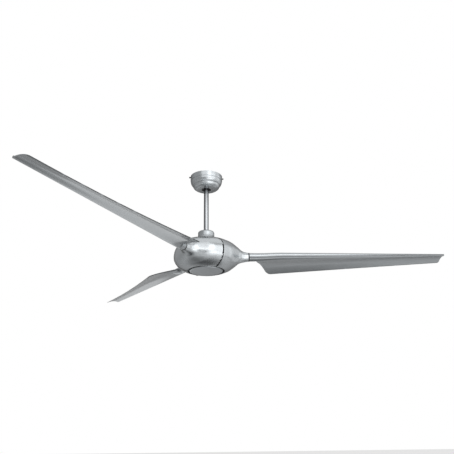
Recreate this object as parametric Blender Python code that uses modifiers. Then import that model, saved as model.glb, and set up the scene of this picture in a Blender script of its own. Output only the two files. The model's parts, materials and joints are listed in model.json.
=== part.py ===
"""Three-blade ceiling fan with a cast three-lobed rotor housing, in metres, +Z up.

The origin is the centre of the bracket's mounting face, in the plane of the ceiling, and the fan
hangs below it. One blade lies along +X. Hub pieces are modelled about the hub point, where the
axis of the blades' root tubes crosses the axis of rotation.
"""

import math

import bmesh
import bpy
from mathutils import Matrix, Vector

# Overall sizes
SWEEP_RADIUS = 1.0675
BLADE_DROP = 0.3915
BLADE_COUNT = 3

# Fits
SEAT_GAP = 0.0003
RUN_GAP = 0.0010
SCREW_GAP = 0.0003
BALL_GAP = 0.0006
OVERRUN = 0.0020
MERGE = 0.00001

# Facets of round pieces
MOUTH_STEPS = 36
ROTOR_STEPS = 24
BIG_STEPS = 24
MID_STEPS = 20
SMALL_STEPS = 16
SCREW_STEPS = 8
BOLT_SIDES = 6

# Canopy
CANOPY_RADIUS = 0.0735
CANOPY_WALL = 0.0010
CANOPY_DEPTH = 0.0650
CANOPY_BAND_DEPTH = 0.0225
CANOPY_STEP = 0.0007
CANOPY_TIER_RADIUS = 0.0625
CANOPY_TIER_DEPTH = 0.0455
CANOPY_FOOT_RADIUS = 0.0480
CANOPY_FOOT_DEPTH = 0.0625
CANOPY_HOLE_RADIUS = 0.0217
CANOPY_BULGE_DEG = 62.0
CANOPY_BULGE_POINTS = 3

# Canopy screws
CANOPY_SCREW_DROP = 0.0058
CANOPY_SCREW_RADIUS = 0.0020
CANOPY_SCREW_HEAD_RADIUS = 0.0040
CANOPY_SCREW_HEAD = 0.0060
CANOPY_SCREW_LENGTH = 0.0090
CANOPY_SCREW_WAIST = 0.0028
BRACKET_TURN_DEG = 5.3

# Ceiling bracket
BRACKET_SHEET = 0.0025
BRACKET_WIDTH = 0.0500
BRACKET_EAR_DROP = 0.0135
BRACKET_BEND = 0.0030
BRACKET_SLOT_REACH = 0.0445
BRACKET_SLOT_WIDTH = 0.0050
BRACKET_SLOT_LENGTH = 0.0160
SOCKET_STRAP_REACH = 0.0300
SOCKET_SEAT_DROP = 0.0140

# Hanger ball and its seat
BALL_DROP = 0.0300
BALL_RADIUS = 0.0210
BALL_TOP = 0.0165
BALL_BOTTOM = 0.0165
SEAT_WALL = 0.0022
SEAT_HOLE_RADIUS = 0.0172
SEAT_TOP = 0.0020
SEAT_POINTS = 5
BALL_POINTS = 7
BALL_PIN_RADIUS = 0.0025
BALL_PIN_RISE = 0.0060
BALL_PIN_LENGTH = 0.0350

# Terminal block
TERMINAL_LENGTH = 0.0240
TERMINAL_WIDTH = 0.0120
TERMINAL_HEIGHT = 0.0100
TERMINAL_REACH = 0.0560
TERMINAL_SCREW_RADIUS = 0.0020
TERMINAL_SCREW_DEPTH = 0.0045
TERMINAL_WAYS = 3

# Downrod
ROD_RADIUS = 0.0110
ROD_WALL = 0.0018
ROD_TOP_ABOVE_BALL = 0.0150
ROD_END_GAP = 0.0030

# Rod coupling on the motor shaft
COUPLING_RADIUS = 0.0195
COUPLING_FOOT_HEIGHT = 0.0560
COUPLING_CHAMFER = 0.0015
SHAFT_END_SHARE = 0.339
SET_SCREW_SHARE = 0.516
CLEVIS_SHARE = 0.710
CLEVIS_RADIUS = 0.0030
CLEVIS_HEAD_RADIUS = 0.0048
CLEVIS_HEAD = 0.0020
CLEVIS_TAIL = 0.0060
COTTER_RADIUS = 0.0008
COTTER_LEG = 0.0070
COTTER_EYE_RADIUS = 0.0022
SET_SCREW_RADIUS = 0.0025
SET_SCREW_SINK = 0.0010

# Coupling cover
COVER_RADIUS = 0.0365
COVER_WALL = 0.0012
COVER_TOP_HEIGHT = 0.1195
COVER_SHOULDER = 0.0085
COVER_SHOULDER_POINTS = 3
COVER_FOOT_HEIGHT = 0.0818
COVER_FLARE_SHARE = 0.345
COVER_FLARE = 0.0045

# Housing of three pods
HOUSING_RADIUS = 0.1430
HOUSING_TOP = 0.0810
HOUSING_BOTTOM = 0.0735
HOUSING_ROUNDNESS = 2.25
HOUSING_WALL = 0.0028
HOUSING_TOP_HOLE = 0.0245
MOUTH_MARGIN = 0.0030
SEAM_TURN_DEG = 2.3
SEAM_GAP = 0.0012
NECK_END = 0.1880
NECK_RADIUS = 0.0192
NECK_WALL = 0.0022
POD_POINTS = 20
POD_INNER_POINTS = 12
POD_SHOULDER_SHARE = 0.5
POD_INNER_SHARES = (0.18, 0.35, 0.5)
POD_FLOW_SHARES = (
    (0.000, 1.000, 1.000, 1.000),
    (0.238, 0.852, 0.814, 0.801),
    (0.385, 0.721, 0.597, 0.614),
    (0.502, 0.571, 0.411, 0.393),
    (0.615, 0.403, 0.203, 0.201),
    (0.729, 0.187, 0.118, 0.086),
    (0.843, 0.075, 0.064, 0.032),
    (1.000, 0.000, 0.000, 0.000),
)
FLANGE_THICKNESS = 0.0025
FLANGE_MARGIN = 0.0032
LIP_WALL = 0.0025
LIP_RISE = 0.0014
LIP_DEPTH = 0.0130

# Pod screws
POD_SCREW_RADIUS = 0.0015
POD_SCREW_HEAD_RADIUS = 0.0027
POD_SCREW_HEAD = 0.0022
POD_SCREW_LENGTH = 0.0080
POD_TOP_SCREW_REACH = 0.0330
POD_BOTTOM_SCREW_INSET = 0.0095
POST_TOP_RADIUS = 0.0045
POD_BOSS_DEPTH = 0.0030
POST_BOTTOM_RADIUS = 0.0034

# Neck rings between pod and blade
NECK_JOINT = 0.0025
NECK_RING_RADIUS = 0.0176

# Blades
TUBE_RADIUS = 0.0190
TUBE_WALL = 0.0034
TUBE_BORE_END = 0.2460
EDGE_ROLL_TIP_RADIUS = 0.0042
EDGE_ROOT_RISE = 0.0017
EDGE_TIP_RISE = 0.0094
EDGE_LEAD = 0.0038
EDGE_RAMP_START = 0.2140
EDGE_RAMP_END = 0.3400
TRAIL_START = 0.2886
TRAIL_ROOT_SPAN = 0.1433
TRAIL_TIP_SPAN = 0.0656
TRAIL_HOLLOW = 0.0099
TRAIL_ROOT_DROP = 0.0385
TRAIL_TIP_DROP = 0.0062
TRAIL_SAG = 0.0020
CAMBER_ROOT_SHARE = 0.020
CAMBER_TIP_SHARE = 0.085
PLATE_ROOT_THICKNESS = 0.0060
PLATE_TIP_THICKNESS = 0.0036
PLATE_EDGE_ROOT = 0.0036
PLATE_EDGE_TIP = 0.0024
TIP_CORNER_RADIUS = 0.0080
TIP_CORNER_TURNS = (0.0, 45.0, 90.0)
ROOT_EDGE_START = 0.2180
ROOT_EDGE_END = 0.3010
ROOT_EDGE_SHARES = (
    (0.070, 0.232),
    (0.145, 0.311),
    (0.265, 0.388),
    (0.410, 0.523),
    (0.554, 0.702),
    (0.699, 0.877),
    (0.843, 0.963),
    (0.898, 0.980),
)
SPAN_SHARES = (0.0, 0.14, 0.32, 0.52, 0.74, 0.92)
ROLL_POINTS = 11
PLATE_SHARES = (0.20, 0.44, 0.68, 0.90)

# Blade arms inside the pods
ARM_PAD_WIDTH = 0.0420
ARM_PAD_HEIGHT = 0.0540
ARM_PAD_THICKNESS = 0.0080
ARM_SPIGOT_END = 0.2430
ARM_SCREW_HEIGHT = 0.0208
ARM_SCREW_RADIUS = 0.0025
ARM_SCREW_HEAD_RADIUS = 0.0042
ARM_SCREW_HEAD = 0.0035
BLADE_SCREW_REACHES = (0.2020, 0.2260)
BLADE_SCREW_RADIUS = 0.0022
BLADE_SCREW_HEAD_RADIUS = 0.0040
BLADE_SCREW_HEAD = 0.0014
BLADE_SCREW_LENGTH = 0.0085
BLADE_SCREW_SINK = 0.0008

# Motor shaft
SHAFT_RADIUS = 0.0085
SHAFT_BORE_RADIUS = 0.0048
SHAFT_SHOULDER_RADIUS = 0.0105
SHAFT_FOOT_HEIGHT = -0.0625

# Bearings
BEARING_RADIUS = 0.0200
BEARING_WIDTH = 0.0120
BEARING_MIDDLE = 0.0445
BALLS_PER_BEARING = 7
BEARING_BALL_RADIUS = 0.0031
BEARING_PITCH_RADIUS = 0.0143
GROOVE_GAP = 0.0009
RING_SHOULDER = 0.0022
CAGE_HEIGHT = 0.0090
CAGE_WALL = 0.0012
CAGE_FACETS = 2
GROOVE_POINTS = 3

# Stator
MOTOR_AIR_GAP = 0.0016
STATOR_HEIGHT = 0.0280
STATOR_YOKE_SHARE = 0.516
STATOR_SHOE = 0.0050
STATOR_SLOTS = 12
TOOTH_WIDTH = 0.0090
SHOE_GAP_DEG = 3.5
COIL_OVERHANG = 0.0100
COIL_YOKE_GAP = 0.0050
COIL_SHOE_GAP = 0.0025
COIL_ROUND = 0.0030

# Rotor
ROTOR_RING_RADIUS = 0.0882
ROTOR_RING_WALL = 0.0050
ROTOR_HALF_HEIGHT = 0.0300
MAGNET_THICKNESS = 0.0038
MAGNET_HEIGHT = 0.0300
BELL_THICKNESS = 0.0042
BELL_CUP_WALL = 0.0042
BELL_LIP = 0.0030
BELL_LIP_THICKNESS = 0.0022
BELL_BOLT_RADIUS = 0.0015
BELL_BOLT_HEAD_RADIUS = 0.0026
BELL_BOLT_HEAD = 0.0024
BELL_BOLT_TURNS_DEG = (60.0, 180.0, 300.0)

# Bottom plate, cap and nut
PLATE_THICKNESS = 0.0020
PLATE_TOP_HEIGHT = -0.0545
PLATE_HUB_RADIUS = 0.0125
NUT_RADIUS = 0.0135
NUT_HEIGHT = 0.0050
NUT_SIDES = 6
CAP_GAP = 0.0022
CAP_WALL = 0.0025
CAP_TOP_HEIGHT = -0.0530
CAP_EDGE_HEIGHT = -0.0648
CAP_CROWN_HEIGHT = -0.0668
CAP_ROUND = 0.0012
CAP_FLOOR = 0.0013
CAP_LEDGE = 0.0018
CAP_ROUND_SHARE = 0.3
CAP_CROWN_SHARES = (0.6,)

# Control board
BOARD_LENGTH = 0.0440
BOARD_THICKNESS = 0.0016
BOARD_HUB_GAP = 0.0035
BOARD_EDGE_GAP = 0.0115
BOARD_RISE = 0.0035
BOARD_MARGIN = 0.0040
STANDOFF_RADIUS = 0.0022
CHIP_SHARES = ((-0.30, 0.10, 0.22, 0.45), (0.05, -0.12, 0.20, 0.40), (0.34, 0.14, 0.16, 0.36))
CHIP_HEIGHTS = (0.0050, 0.0035, 0.0060)

# Values that follow from the sizes above
TURN = 2.0 * math.pi
HUB_Z = -BLADE_DROP
SPIGOT_RADIUS = TUBE_RADIUS - TUBE_WALL
BLADE_BORE_RADIUS = SPIGOT_RADIUS + SEAT_GAP
BLADE_START = NECK_END + NECK_JOINT
COVER_FLARE_HEIGHT = (COVER_TOP_HEIGHT - COVER_FOOT_HEIGHT) * COVER_FLARE_SHARE
COUPLING_TOP_HEIGHT = COVER_TOP_HEIGHT - COVER_WALL - SEAT_GAP
COUPLING_LENGTH = COUPLING_TOP_HEIGHT - COUPLING_FOOT_HEIGHT
SHAFT_TOP_HEIGHT = COUPLING_FOOT_HEIGHT + COUPLING_LENGTH * SHAFT_END_SHARE
ROD_END_HEIGHT = SHAFT_TOP_HEIGHT + ROD_END_GAP
SET_SCREW_HEIGHT = COUPLING_FOOT_HEIGHT + COUPLING_LENGTH * SET_SCREW_SHARE
CLEVIS_HEIGHT = COUPLING_FOOT_HEIGHT + COUPLING_LENGTH * CLEVIS_SHARE
SEAT_RADIUS = BALL_RADIUS + BALL_GAP
SOCKET_RADIUS = SEAT_RADIUS + SEAT_WALL + SEAT_GAP
CANOPY_TOP_Z = -SEAT_GAP
BEARING_BORE_RADIUS = SHAFT_RADIUS + SEAT_GAP
SHOULDER_HALF_LENGTH = BEARING_MIDDLE - BEARING_WIDTH / 2.0 - SEAT_GAP
BELL_POCKET_RADIUS = BEARING_RADIUS + SEAT_GAP
BELL_CUP_RADIUS = BELL_POCKET_RADIUS + BELL_CUP_WALL
MAGNET_RADIUS = ROTOR_RING_RADIUS - ROTOR_RING_WALL - SEAT_GAP
STATOR_RADIUS = MAGNET_RADIUS - MAGNET_THICKNESS - MOTOR_AIR_GAP
STATOR_YOKE_RADIUS = STATOR_RADIUS * STATOR_YOKE_SHARE
COIL_START = STATOR_YOKE_RADIUS + COIL_YOKE_GAP
COIL_END = STATOR_RADIUS - STATOR_SHOE - COIL_SHOE_GAP
POD_BOTTOM_SCREW_REACH = ROTOR_RING_RADIUS - POD_BOTTOM_SCREW_INSET
HOUSING_MOUTH = POD_BOTTOM_SCREW_REACH + MOUTH_MARGIN
FLANGE_INNER_RADIUS = POD_BOTTOM_SCREW_REACH - FLANGE_MARGIN
CAP_RADIUS = FLANGE_INNER_RADIUS - CAP_GAP
PLATE_RADIUS = CAP_RADIUS - CAP_WALL - SEAT_GAP
BOARD_START = BELL_CUP_RADIUS + BOARD_HUB_GAP
BOARD_END = PLATE_RADIUS - BOARD_EDGE_GAP
BOARD_WIDTH = BOARD_END - BOARD_START
BOARD_REACH = (BOARD_START + BOARD_END) / 2.0

SILVER = (0.60, 0.61, 0.62)
PARTS = None
CUTTERS = None


def start_scene():
    """Empty the file and make the two collections."""
    global PARTS, CUTTERS
    for obj in list(bpy.data.objects):
        bpy.data.objects.remove(obj, do_unlink=True)
    PARTS = bpy.data.collections.new("ceiling_fan")
    CUTTERS = bpy.data.collections.new("cutters")
    bpy.context.scene.collection.children.link(PARTS)
    bpy.context.scene.collection.children.link(CUTTERS)


def make_material(name, colour, metallic, roughness):
    """One Principled material for a piece."""
    mat = bpy.data.materials.get(name)
    if mat is not None:
        return mat
    mat = bpy.data.materials.new(name)
    mat.use_nodes = True
    shader = mat.node_tree.nodes["Principled BSDF"]
    shader.inputs["Base Color"].default_value = (*colour, 1.0)
    shader.inputs["Metallic"].default_value = metallic
    shader.inputs["Roughness"].default_value = roughness
    return mat


def add_empty(name, location, parent=None):
    """A point that pieces hang from; it marks a joint's axis."""
    empty = bpy.data.objects.new(name, None)
    empty.location = location
    empty.parent = parent
    PARTS.objects.link(empty)
    return empty


def add_piece(name, mesh, mat, parent=None, sharp_deg=35.0):
    """Link a mesh as a finished piece, shaded smooth with sharp corners kept."""
    obj = bpy.data.objects.new(name, mesh)
    if mat is not None and not mesh.materials:
        mesh.materials.append(mat)
    mesh.shade_smooth()
    mesh.set_sharp_from_angle(angle=math.radians(sharp_deg))
    obj.parent = parent
    PARTS.objects.link(obj)
    return obj


def make_cutter(obj):
    """Turn an object into a hidden cutter."""
    for collection in list(obj.users_collection):
        collection.objects.unlink(obj)
    CUTTERS.objects.link(obj)
    obj.hide_render = True
    obj.display_type = "WIRE"
    return obj


def boolean(obj, cutter, operation="DIFFERENCE"):
    """Add a Boolean modifier with a hidden cutter."""
    make_cutter(cutter)
    mod = obj.modifiers.new(operation.lower(), "BOOLEAN")
    mod.operation = operation
    mod.solver = "EXACT"
    mod.object = cutter
    return obj


def fixed_mesh(obj, name):
    """The evaluated mesh of an object, which is then removed with its cutters."""
    bpy.context.view_layer.update()
    graph = bpy.context.evaluated_depsgraph_get()
    mesh = bpy.data.meshes.new_from_object(obj.evaluated_get(graph))
    mesh.name = name
    used = [mod.object for mod in obj.modifiers if mod.type == "BOOLEAN"]
    bpy.data.objects.remove(obj, do_unlink=True)
    for cutter in used:
        bpy.data.objects.remove(cutter, do_unlink=True)
    return mesh


def mesh_from_bmesh(name, bm):
    """Store a bmesh with its faces pointing out."""
    bmesh.ops.recalc_face_normals(bm, faces=bm.faces)
    mesh = bpy.data.meshes.new(name)
    bm.to_mesh(mesh)
    bm.free()
    return mesh


def turned(name, outline, steps, mat=None, closed=True, parent=None):
    """Spin an outline of (radius, height) points about Z with a Screw modifier.

    The outline runs down the outer side first. A closed one goes back up the inside.
    """
    verts = [(radius, 0.0, height) for radius, height in outline]
    edges = [(index, index + 1) for index in range(len(verts) - 1)]
    if closed:
        edges.append((len(verts) - 1, 0))
    mesh = bpy.data.meshes.new(name)
    mesh.from_pydata(verts, edges, [])
    obj = bpy.data.objects.new(name, mesh)
    if mat is not None:
        mesh.materials.append(mat)
    PARTS.objects.link(obj)
    obj.parent = parent
    mod = obj.modifiers.new("turn", "SCREW")
    mod.axis = "Z"
    mod.angle = TURN
    mod.steps = steps
    mod.render_steps = steps
    mod.use_merge_vertices = True
    mod.merge_threshold = MERGE
    mod.use_smooth_shade = True
    return obj


def offset_line(points, distance):
    """Offset an open line of (radius, height) points to its right-hand side by mitred corners."""
    result = []
    for index, point in enumerate(points):
        here = Vector(point)
        before = Vector(points[index - 1]) if index > 0 else None
        after = Vector(points[index + 1]) if index < len(points) - 1 else None
        normals = []
        for start, end in ((before, here), (here, after)):
            if start is None or end is None:
                continue
            along = (end - start).normalized()
            normals.append(Vector((along.y, -along.x)))
        mean = sum(normals, Vector((0.0, 0.0))).normalized()
        stretch = 1.0 / max(mean.dot(normals[0]), 0.5)
        result.append(tuple(here + mean * distance * stretch))
    return result


def cylinder(name, radius, low, high, steps, mat=None, axis="Z", parent=None, centre=(0.0, 0.0)):
    """A cylinder between two heights along an axis, from the cylinder primitive."""
    bm = bmesh.new()
    bmesh.ops.create_cone(
        bm,
        cap_ends=True,
        segments=steps,
        radius1=radius,
        radius2=radius,
        depth=high - low,
    )
    middle = (high + low) / 2.0
    bmesh.ops.translate(bm, verts=bm.verts, vec=(centre[0], centre[1], middle))
    if axis == "X":
        bmesh.ops.rotate(bm, verts=bm.verts, matrix=Matrix.Rotation(TURN / 4.0, 3, "Y"))
    if axis == "Y":
        bmesh.ops.rotate(bm, verts=bm.verts, matrix=Matrix.Rotation(-TURN / 4.0, 3, "X"))
    return add_piece(name, mesh_from_bmesh(name, bm), mat, parent)


def box(name, low, high, mat=None, parent=None):
    """A box between two corners, from the cube primitive."""
    bm = bmesh.new()
    bmesh.ops.create_cube(bm, size=1.0)
    size = [high[i] - low[i] for i in range(3)]
    middle = [(high[i] + low[i]) / 2.0 for i in range(3)]
    bmesh.ops.scale(bm, verts=bm.verts, vec=size)
    bmesh.ops.translate(bm, verts=bm.verts, vec=middle)
    return add_piece(name, mesh_from_bmesh(name, bm), mat, parent)


def outline_slab(name, loops, thickness, mat=None, parent=None):
    """A flat outline of straight lines, with any holes, as a 2D curve of a thickness."""
    curve = bpy.data.curves.new(name, "CURVE")
    curve.dimensions = "2D"
    curve.fill_mode = "BOTH"
    curve.extrude = thickness / 2.0
    for loop in loops:
        spline = curve.splines.new("POLY")
        spline.points.add(len(loop) - 1)
        for point, (x, y) in zip(spline.points, loop):
            point.co = (x, y, 0.0, 1.0)
        spline.use_cyclic_u = True
    guide = bpy.data.objects.new(name, curve)
    PARTS.objects.link(guide)
    return curve_to_piece(guide, name, mat, parent)


def curve_to_piece(guide, name, mat, parent=None):
    """Turn a curve object into a welded mesh piece and remove the curve."""
    bpy.context.view_layer.update()
    graph = bpy.context.evaluated_depsgraph_get()
    mesh = bpy.data.meshes.new_from_object(guide.evaluated_get(graph))
    bm = bmesh.new()
    bm.from_mesh(mesh)
    bmesh.ops.remove_doubles(bm, verts=bm.verts, dist=MERGE)
    bmesh.ops.recalc_face_normals(bm, faces=bm.faces)
    bm.to_mesh(mesh)
    bm.free()
    matrix = guide.matrix_world.copy()
    bpy.data.objects.remove(guide, do_unlink=True)
    mesh.materials.clear()
    obj = add_piece(name, mesh, mat, parent)
    obj.matrix_world = matrix
    return obj


def wire(name, path, radius, mat, parent=None, resolution=1):
    """A round wire along a path, as a curve with a bevel depth and filled caps."""
    curve = bpy.data.curves.new(name, "CURVE")
    curve.dimensions = "3D"
    curve.bevel_depth = radius
    curve.bevel_resolution = resolution
    curve.use_fill_caps = True
    spline = curve.splines.new("POLY")
    spline.points.add(len(path) - 1)
    for point, place in zip(spline.points, path):
        point.co = (*place, 1.0)
    guide = bpy.data.objects.new(name, curve)
    PARTS.objects.link(guide)
    return curve_to_piece(guide, name, mat, parent)


def baked(obj, name):
    """The evaluated mesh of an object in its own place; the object is removed with its cutters."""
    bpy.context.view_layer.update()
    matrix = obj.matrix_world.copy()
    mesh = fixed_mesh(obj, name)
    mesh.transform(matrix)
    mesh.materials.clear()
    return mesh


def joined(name, objects):
    """Several solids as the one mesh of a cutter."""
    bm = bmesh.new()
    for obj in objects:
        mesh = baked(obj, name)
        bm.from_mesh(mesh)
        bpy.data.meshes.remove(mesh)
    mesh = bpy.data.meshes.new(name)
    bm.to_mesh(mesh)
    bm.free()
    return add_piece(name, mesh, None)


def screw_shape(name, head_radius, head, shank_radius, length, steps=SCREW_STEPS):
    """A plain screw: head above height zero, shank below it."""
    outline = (
        (0.0, head),
        (head_radius, head),
        (head_radius, 0.0),
        (shank_radius, 0.0),
        (shank_radius, -length),
        (0.0, -length),
    )
    return turned(name, outline, steps, closed=False)


def arc_points(centre, radius_x, radius_y, start_deg, end_deg, count):
    """Points on an ellipse arc, ends included; angles from +radius towards +height."""
    points = []
    for index in range(count):
        angle = math.radians(start_deg + (end_deg - start_deg) * index / (count - 1))
        points.append((centre[0] + radius_x * math.cos(angle), centre[1] + radius_y * math.sin(angle)))
    return points


def turned_set(name, maker, angles):
    """Copies of one small solid turned about Z, as the one mesh of a cutter."""
    copies = []
    for index, angle in enumerate(angles):
        obj = maker(name + "_" + str(index))
        bpy.context.view_layer.update()
        obj.matrix_world = Matrix.Rotation(angle, 4, "Z") @ obj.matrix_world
        copies.append(obj)
    return joined(name, copies)


def ring_of_pieces(name, mesh, angles, mat, parent=None, sharp_deg=35.0):
    """Equal pieces that share one mesh, turned about Z and numbered from 1."""
    for index, angle in enumerate(angles):
        piece = add_piece(name + "_" + str(index + 1), mesh, mat, parent, sharp_deg)
        piece.rotation_euler.z = angle


def blade_angles():
    """Azimuths of the blades."""
    return [TURN * index / BLADE_COUNT for index in range(BLADE_COUNT)]


# Canopy and bracket


def canopy_bulge(start, end):
    """A convex tier between two outline points, upright at its top."""
    reach = math.radians(CANOPY_BULGE_DEG)
    points = []
    for index in range(CANOPY_BULGE_POINTS):
        angle = reach * index / (CANOPY_BULGE_POINTS - 1)
        fall = math.sin(angle) / math.sin(reach)
        draw = (1.0 - math.cos(angle)) / (1.0 - math.cos(reach))
        points.append((start[0] + (end[0] - start[0]) * draw, start[1] + (end[1] - start[1]) * fall))
    return points


def make_canopy():
    """Stepped spun cup with a hole for the rod and two screw holes."""
    mat = make_material("canopy_silver", SILVER, 0.85, 0.32)
    band_foot = (CANOPY_RADIUS, -CANOPY_BAND_DEPTH)
    tier_top = (CANOPY_RADIUS - CANOPY_STEP, -CANOPY_BAND_DEPTH - CANOPY_STEP)
    tier_foot = (CANOPY_TIER_RADIUS, -CANOPY_TIER_DEPTH)
    foot_top = (CANOPY_TIER_RADIUS - CANOPY_STEP, -CANOPY_TIER_DEPTH - CANOPY_STEP)
    foot = (CANOPY_FOOT_RADIUS, -CANOPY_FOOT_DEPTH)
    floor = (CANOPY_FOOT_RADIUS - CANOPY_STEP, -CANOPY_FOOT_DEPTH - CANOPY_STEP)
    outer = [(CANOPY_RADIUS, CANOPY_TOP_Z), band_foot]
    outer += canopy_bulge(tier_top, tier_foot)
    outer += canopy_bulge(foot_top, foot)
    outer += [floor, (CANOPY_HOLE_RADIUS, -CANOPY_DEPTH)]
    tier_middle = outer[2 + CANOPY_BULGE_POINTS // 2]
    foot_middle = outer[2 + CANOPY_BULGE_POINTS + CANOPY_BULGE_POINTS // 2]
    inner = [outer[0], band_foot, tier_middle, tier_foot, foot_middle, foot, outer[-1]]
    inner = offset_line(inner, CANOPY_WALL)
    canopy = turned("canopy", outer + inner[::-1], BIG_STEPS, mat)
    reach = CANOPY_RADIUS + OVERRUN
    hole = cylinder(
        "canopy_screw_holes",
        CANOPY_SCREW_RADIUS + SCREW_GAP,
        -reach,
        reach,
        SCREW_STEPS,
        axis="X",
    )
    hole.location.z = -CANOPY_SCREW_DROP
    hole.rotation_euler.z = math.radians(BRACKET_TURN_DEG)
    boolean(canopy, hole)


def canopy_screw(name):
    """Thumb screw along +X with a waisted head outside the canopy wall."""
    seat = CANOPY_RADIUS + SEAT_GAP
    outline = (
        (0.0, seat + CANOPY_SCREW_HEAD),
        (CANOPY_SCREW_HEAD_RADIUS - CANOPY_STEP, seat + CANOPY_SCREW_HEAD),
        (CANOPY_SCREW_HEAD_RADIUS, seat + CANOPY_SCREW_HEAD - CANOPY_STEP),
        (CANOPY_SCREW_HEAD_RADIUS, seat + CANOPY_SCREW_HEAD / 2.0),
        (CANOPY_SCREW_WAIST, seat + CANOPY_SCREW_HEAD / 2.0 - CANOPY_STEP),
        (CANOPY_SCREW_WAIST, seat),
        (CANOPY_SCREW_RADIUS, seat),
        (CANOPY_SCREW_RADIUS, seat - CANOPY_SCREW_LENGTH),
        (0.0, seat - CANOPY_SCREW_LENGTH),
    )
    obj = turned(name, outline, SCREW_STEPS, closed=False)
    place = Matrix.Translation((0.0, 0.0, -CANOPY_SCREW_DROP)) @ Matrix.Rotation(TURN / 4.0, 4, "Y")
    obj.matrix_world = place
    return obj


def make_canopy_screws():
    """The two dark screws that hold the canopy to the bracket ears."""
    mat = make_material("screw_black", (0.03, 0.03, 0.03), 0.3, 0.45)
    turn = math.radians(BRACKET_TURN_DEG)
    mesh = baked(canopy_screw("canopy_screw"), "canopy_screw")
    ring_of_pieces("canopy_screw", mesh, [turn, turn + TURN / 2.0], mat)


def hat_outline(half_width, depth, sheet, bend):
    """A U of sheet, open downwards, with rounded bends, as a closed outline."""
    outer = [(-half_width, -depth)]
    for angle in (180.0, 150.0, 120.0, 90.0):
        outer.append((
            -half_width + bend + bend * math.cos(math.radians(angle)),
            -bend + bend * math.sin(math.radians(angle)),
        ))
    mirrored = [(-x, y) for x, y in outer[::-1]]
    outer += mirrored
    inner = []
    inner_bend = bend - sheet
    for angle in (180.0, 135.0, 90.0):
        inner.append((
            -half_width + bend + inner_bend * math.cos(math.radians(angle)),
            -bend + inner_bend * math.sin(math.radians(angle)),
        ))
    inner = [(-half_width + sheet, -depth)] + inner
    inner += [(-x, y) for x, y in inner[::-1]]
    return outer + inner[::-1]


def make_bracket():
    """Stamped bracket: a plate with ears for the canopy and a strap with the ball socket."""
    mat = make_material("bracket_zinc", (0.55, 0.56, 0.57), 0.9, 0.4)
    half = (CANOPY_RADIUS - CANOPY_WALL) * math.cos(TURN / 2.0 / BIG_STEPS) - SEAT_GAP
    ear_outline = hat_outline(half, BRACKET_EAR_DROP, BRACKET_SHEET, BRACKET_BEND)
    plate = outline_slab("ceiling_bracket", [ear_outline], BRACKET_WIDTH, mat)
    plate.data.transform(Matrix.Rotation(TURN / 4.0, 4, "X"))
    trim = cylinder("bracket_trim", half, -CANOPY_DEPTH, OVERRUN, BIG_STEPS)
    boolean(plate, trim, "INTERSECT")
    seat_z = -BALL_DROP - SOCKET_SEAT_DROP
    strap_drop = -seat_z + BRACKET_SHEET
    leg = strap_drop - BRACKET_SHEET / 2.0
    strap_outline = hat_outline(SOCKET_STRAP_REACH, leg, BRACKET_SHEET, BRACKET_BEND)
    strap_outline = [(x, -y - strap_drop) for x, y in strap_outline]
    strap = outline_slab("bracket_strap", [strap_outline], BRACKET_WIDTH - OVERRUN)
    strap.data.transform(Matrix.Rotation(TURN / 4.0, 4, "X"))
    boolean(plate, strap, "UNION")
    hole_radius = math.sqrt(SOCKET_RADIUS ** 2 - SOCKET_SEAT_DROP ** 2)
    low_radius = math.sqrt(SOCKET_RADIUS ** 2 - (SOCKET_SEAT_DROP + BRACKET_SHEET) ** 2)
    socket_cut = (
        (0.0, seat_z + OVERRUN),
        (hole_radius + OVERRUN, seat_z + OVERRUN),
        (hole_radius, seat_z),
        (low_radius, seat_z - BRACKET_SHEET),
        (low_radius, seat_z - BRACKET_SHEET - OVERRUN),
        (0.0, seat_z - BRACKET_SHEET - OVERRUN),
    )
    boolean(plate, turned("bracket_socket", socket_cut, MID_STEPS, closed=False))
    for side in (-1.0, 1.0):
        reach = side * BRACKET_SLOT_REACH
        slot = box(
            "bracket_slot",
            (reach - BRACKET_SLOT_WIDTH / 2.0, -BRACKET_SLOT_LENGTH / 2.0, -BRACKET_SHEET - OVERRUN),
            (reach + BRACKET_SLOT_WIDTH / 2.0, BRACKET_SLOT_LENGTH / 2.0, OVERRUN),
        )
        boolean(plate, slot)
    reach = CANOPY_RADIUS + OVERRUN
    bore = CANOPY_SCREW_RADIUS + SCREW_GAP
    screws = cylinder("bracket_screw_holes", bore, -reach, reach, SCREW_STEPS, axis="X")
    screws.location.z = -CANOPY_SCREW_DROP
    boolean(plate, screws)
    mesh = fixed_mesh(plate, "ceiling_bracket")
    bracket = add_piece("ceiling_bracket", mesh, mat)
    bracket.rotation_euler.z = math.radians(BRACKET_TURN_DEG)


def make_terminal_block():
    """Block of three terminals under the bracket plate, beside the strap."""
    mat = make_material("terminal_white", (0.75, 0.74, 0.70), 0.0, 0.5)
    top = -BRACKET_SHEET - SEAT_GAP
    reach = TERMINAL_REACH
    block = box(
        "terminal_block",
        (reach - TERMINAL_WIDTH / 2.0, -TERMINAL_LENGTH / 2.0, top - TERMINAL_HEIGHT),
        (reach + TERMINAL_WIDTH / 2.0, TERMINAL_LENGTH / 2.0, top),
        mat,
    )
    pitch = TERMINAL_LENGTH / TERMINAL_WAYS
    for index in range(TERMINAL_WAYS):
        place = -TERMINAL_LENGTH / 2.0 + pitch * (index + 0.5)
        hole = cylinder(
            "terminal_hole",
            TERMINAL_SCREW_RADIUS,
            top - TERMINAL_HEIGHT - OVERRUN,
            top - TERMINAL_HEIGHT + TERMINAL_SCREW_DEPTH,
            SCREW_STEPS,
            centre=(reach, place),
        )
        boolean(block, hole)
    mesh = fixed_mesh(block, "terminal_block")
    block = add_piece("terminal_block", mesh, mat)
    block.rotation_euler.z = math.radians(BRACKET_TURN_DEG)


# Ball, rod and coupling


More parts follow.
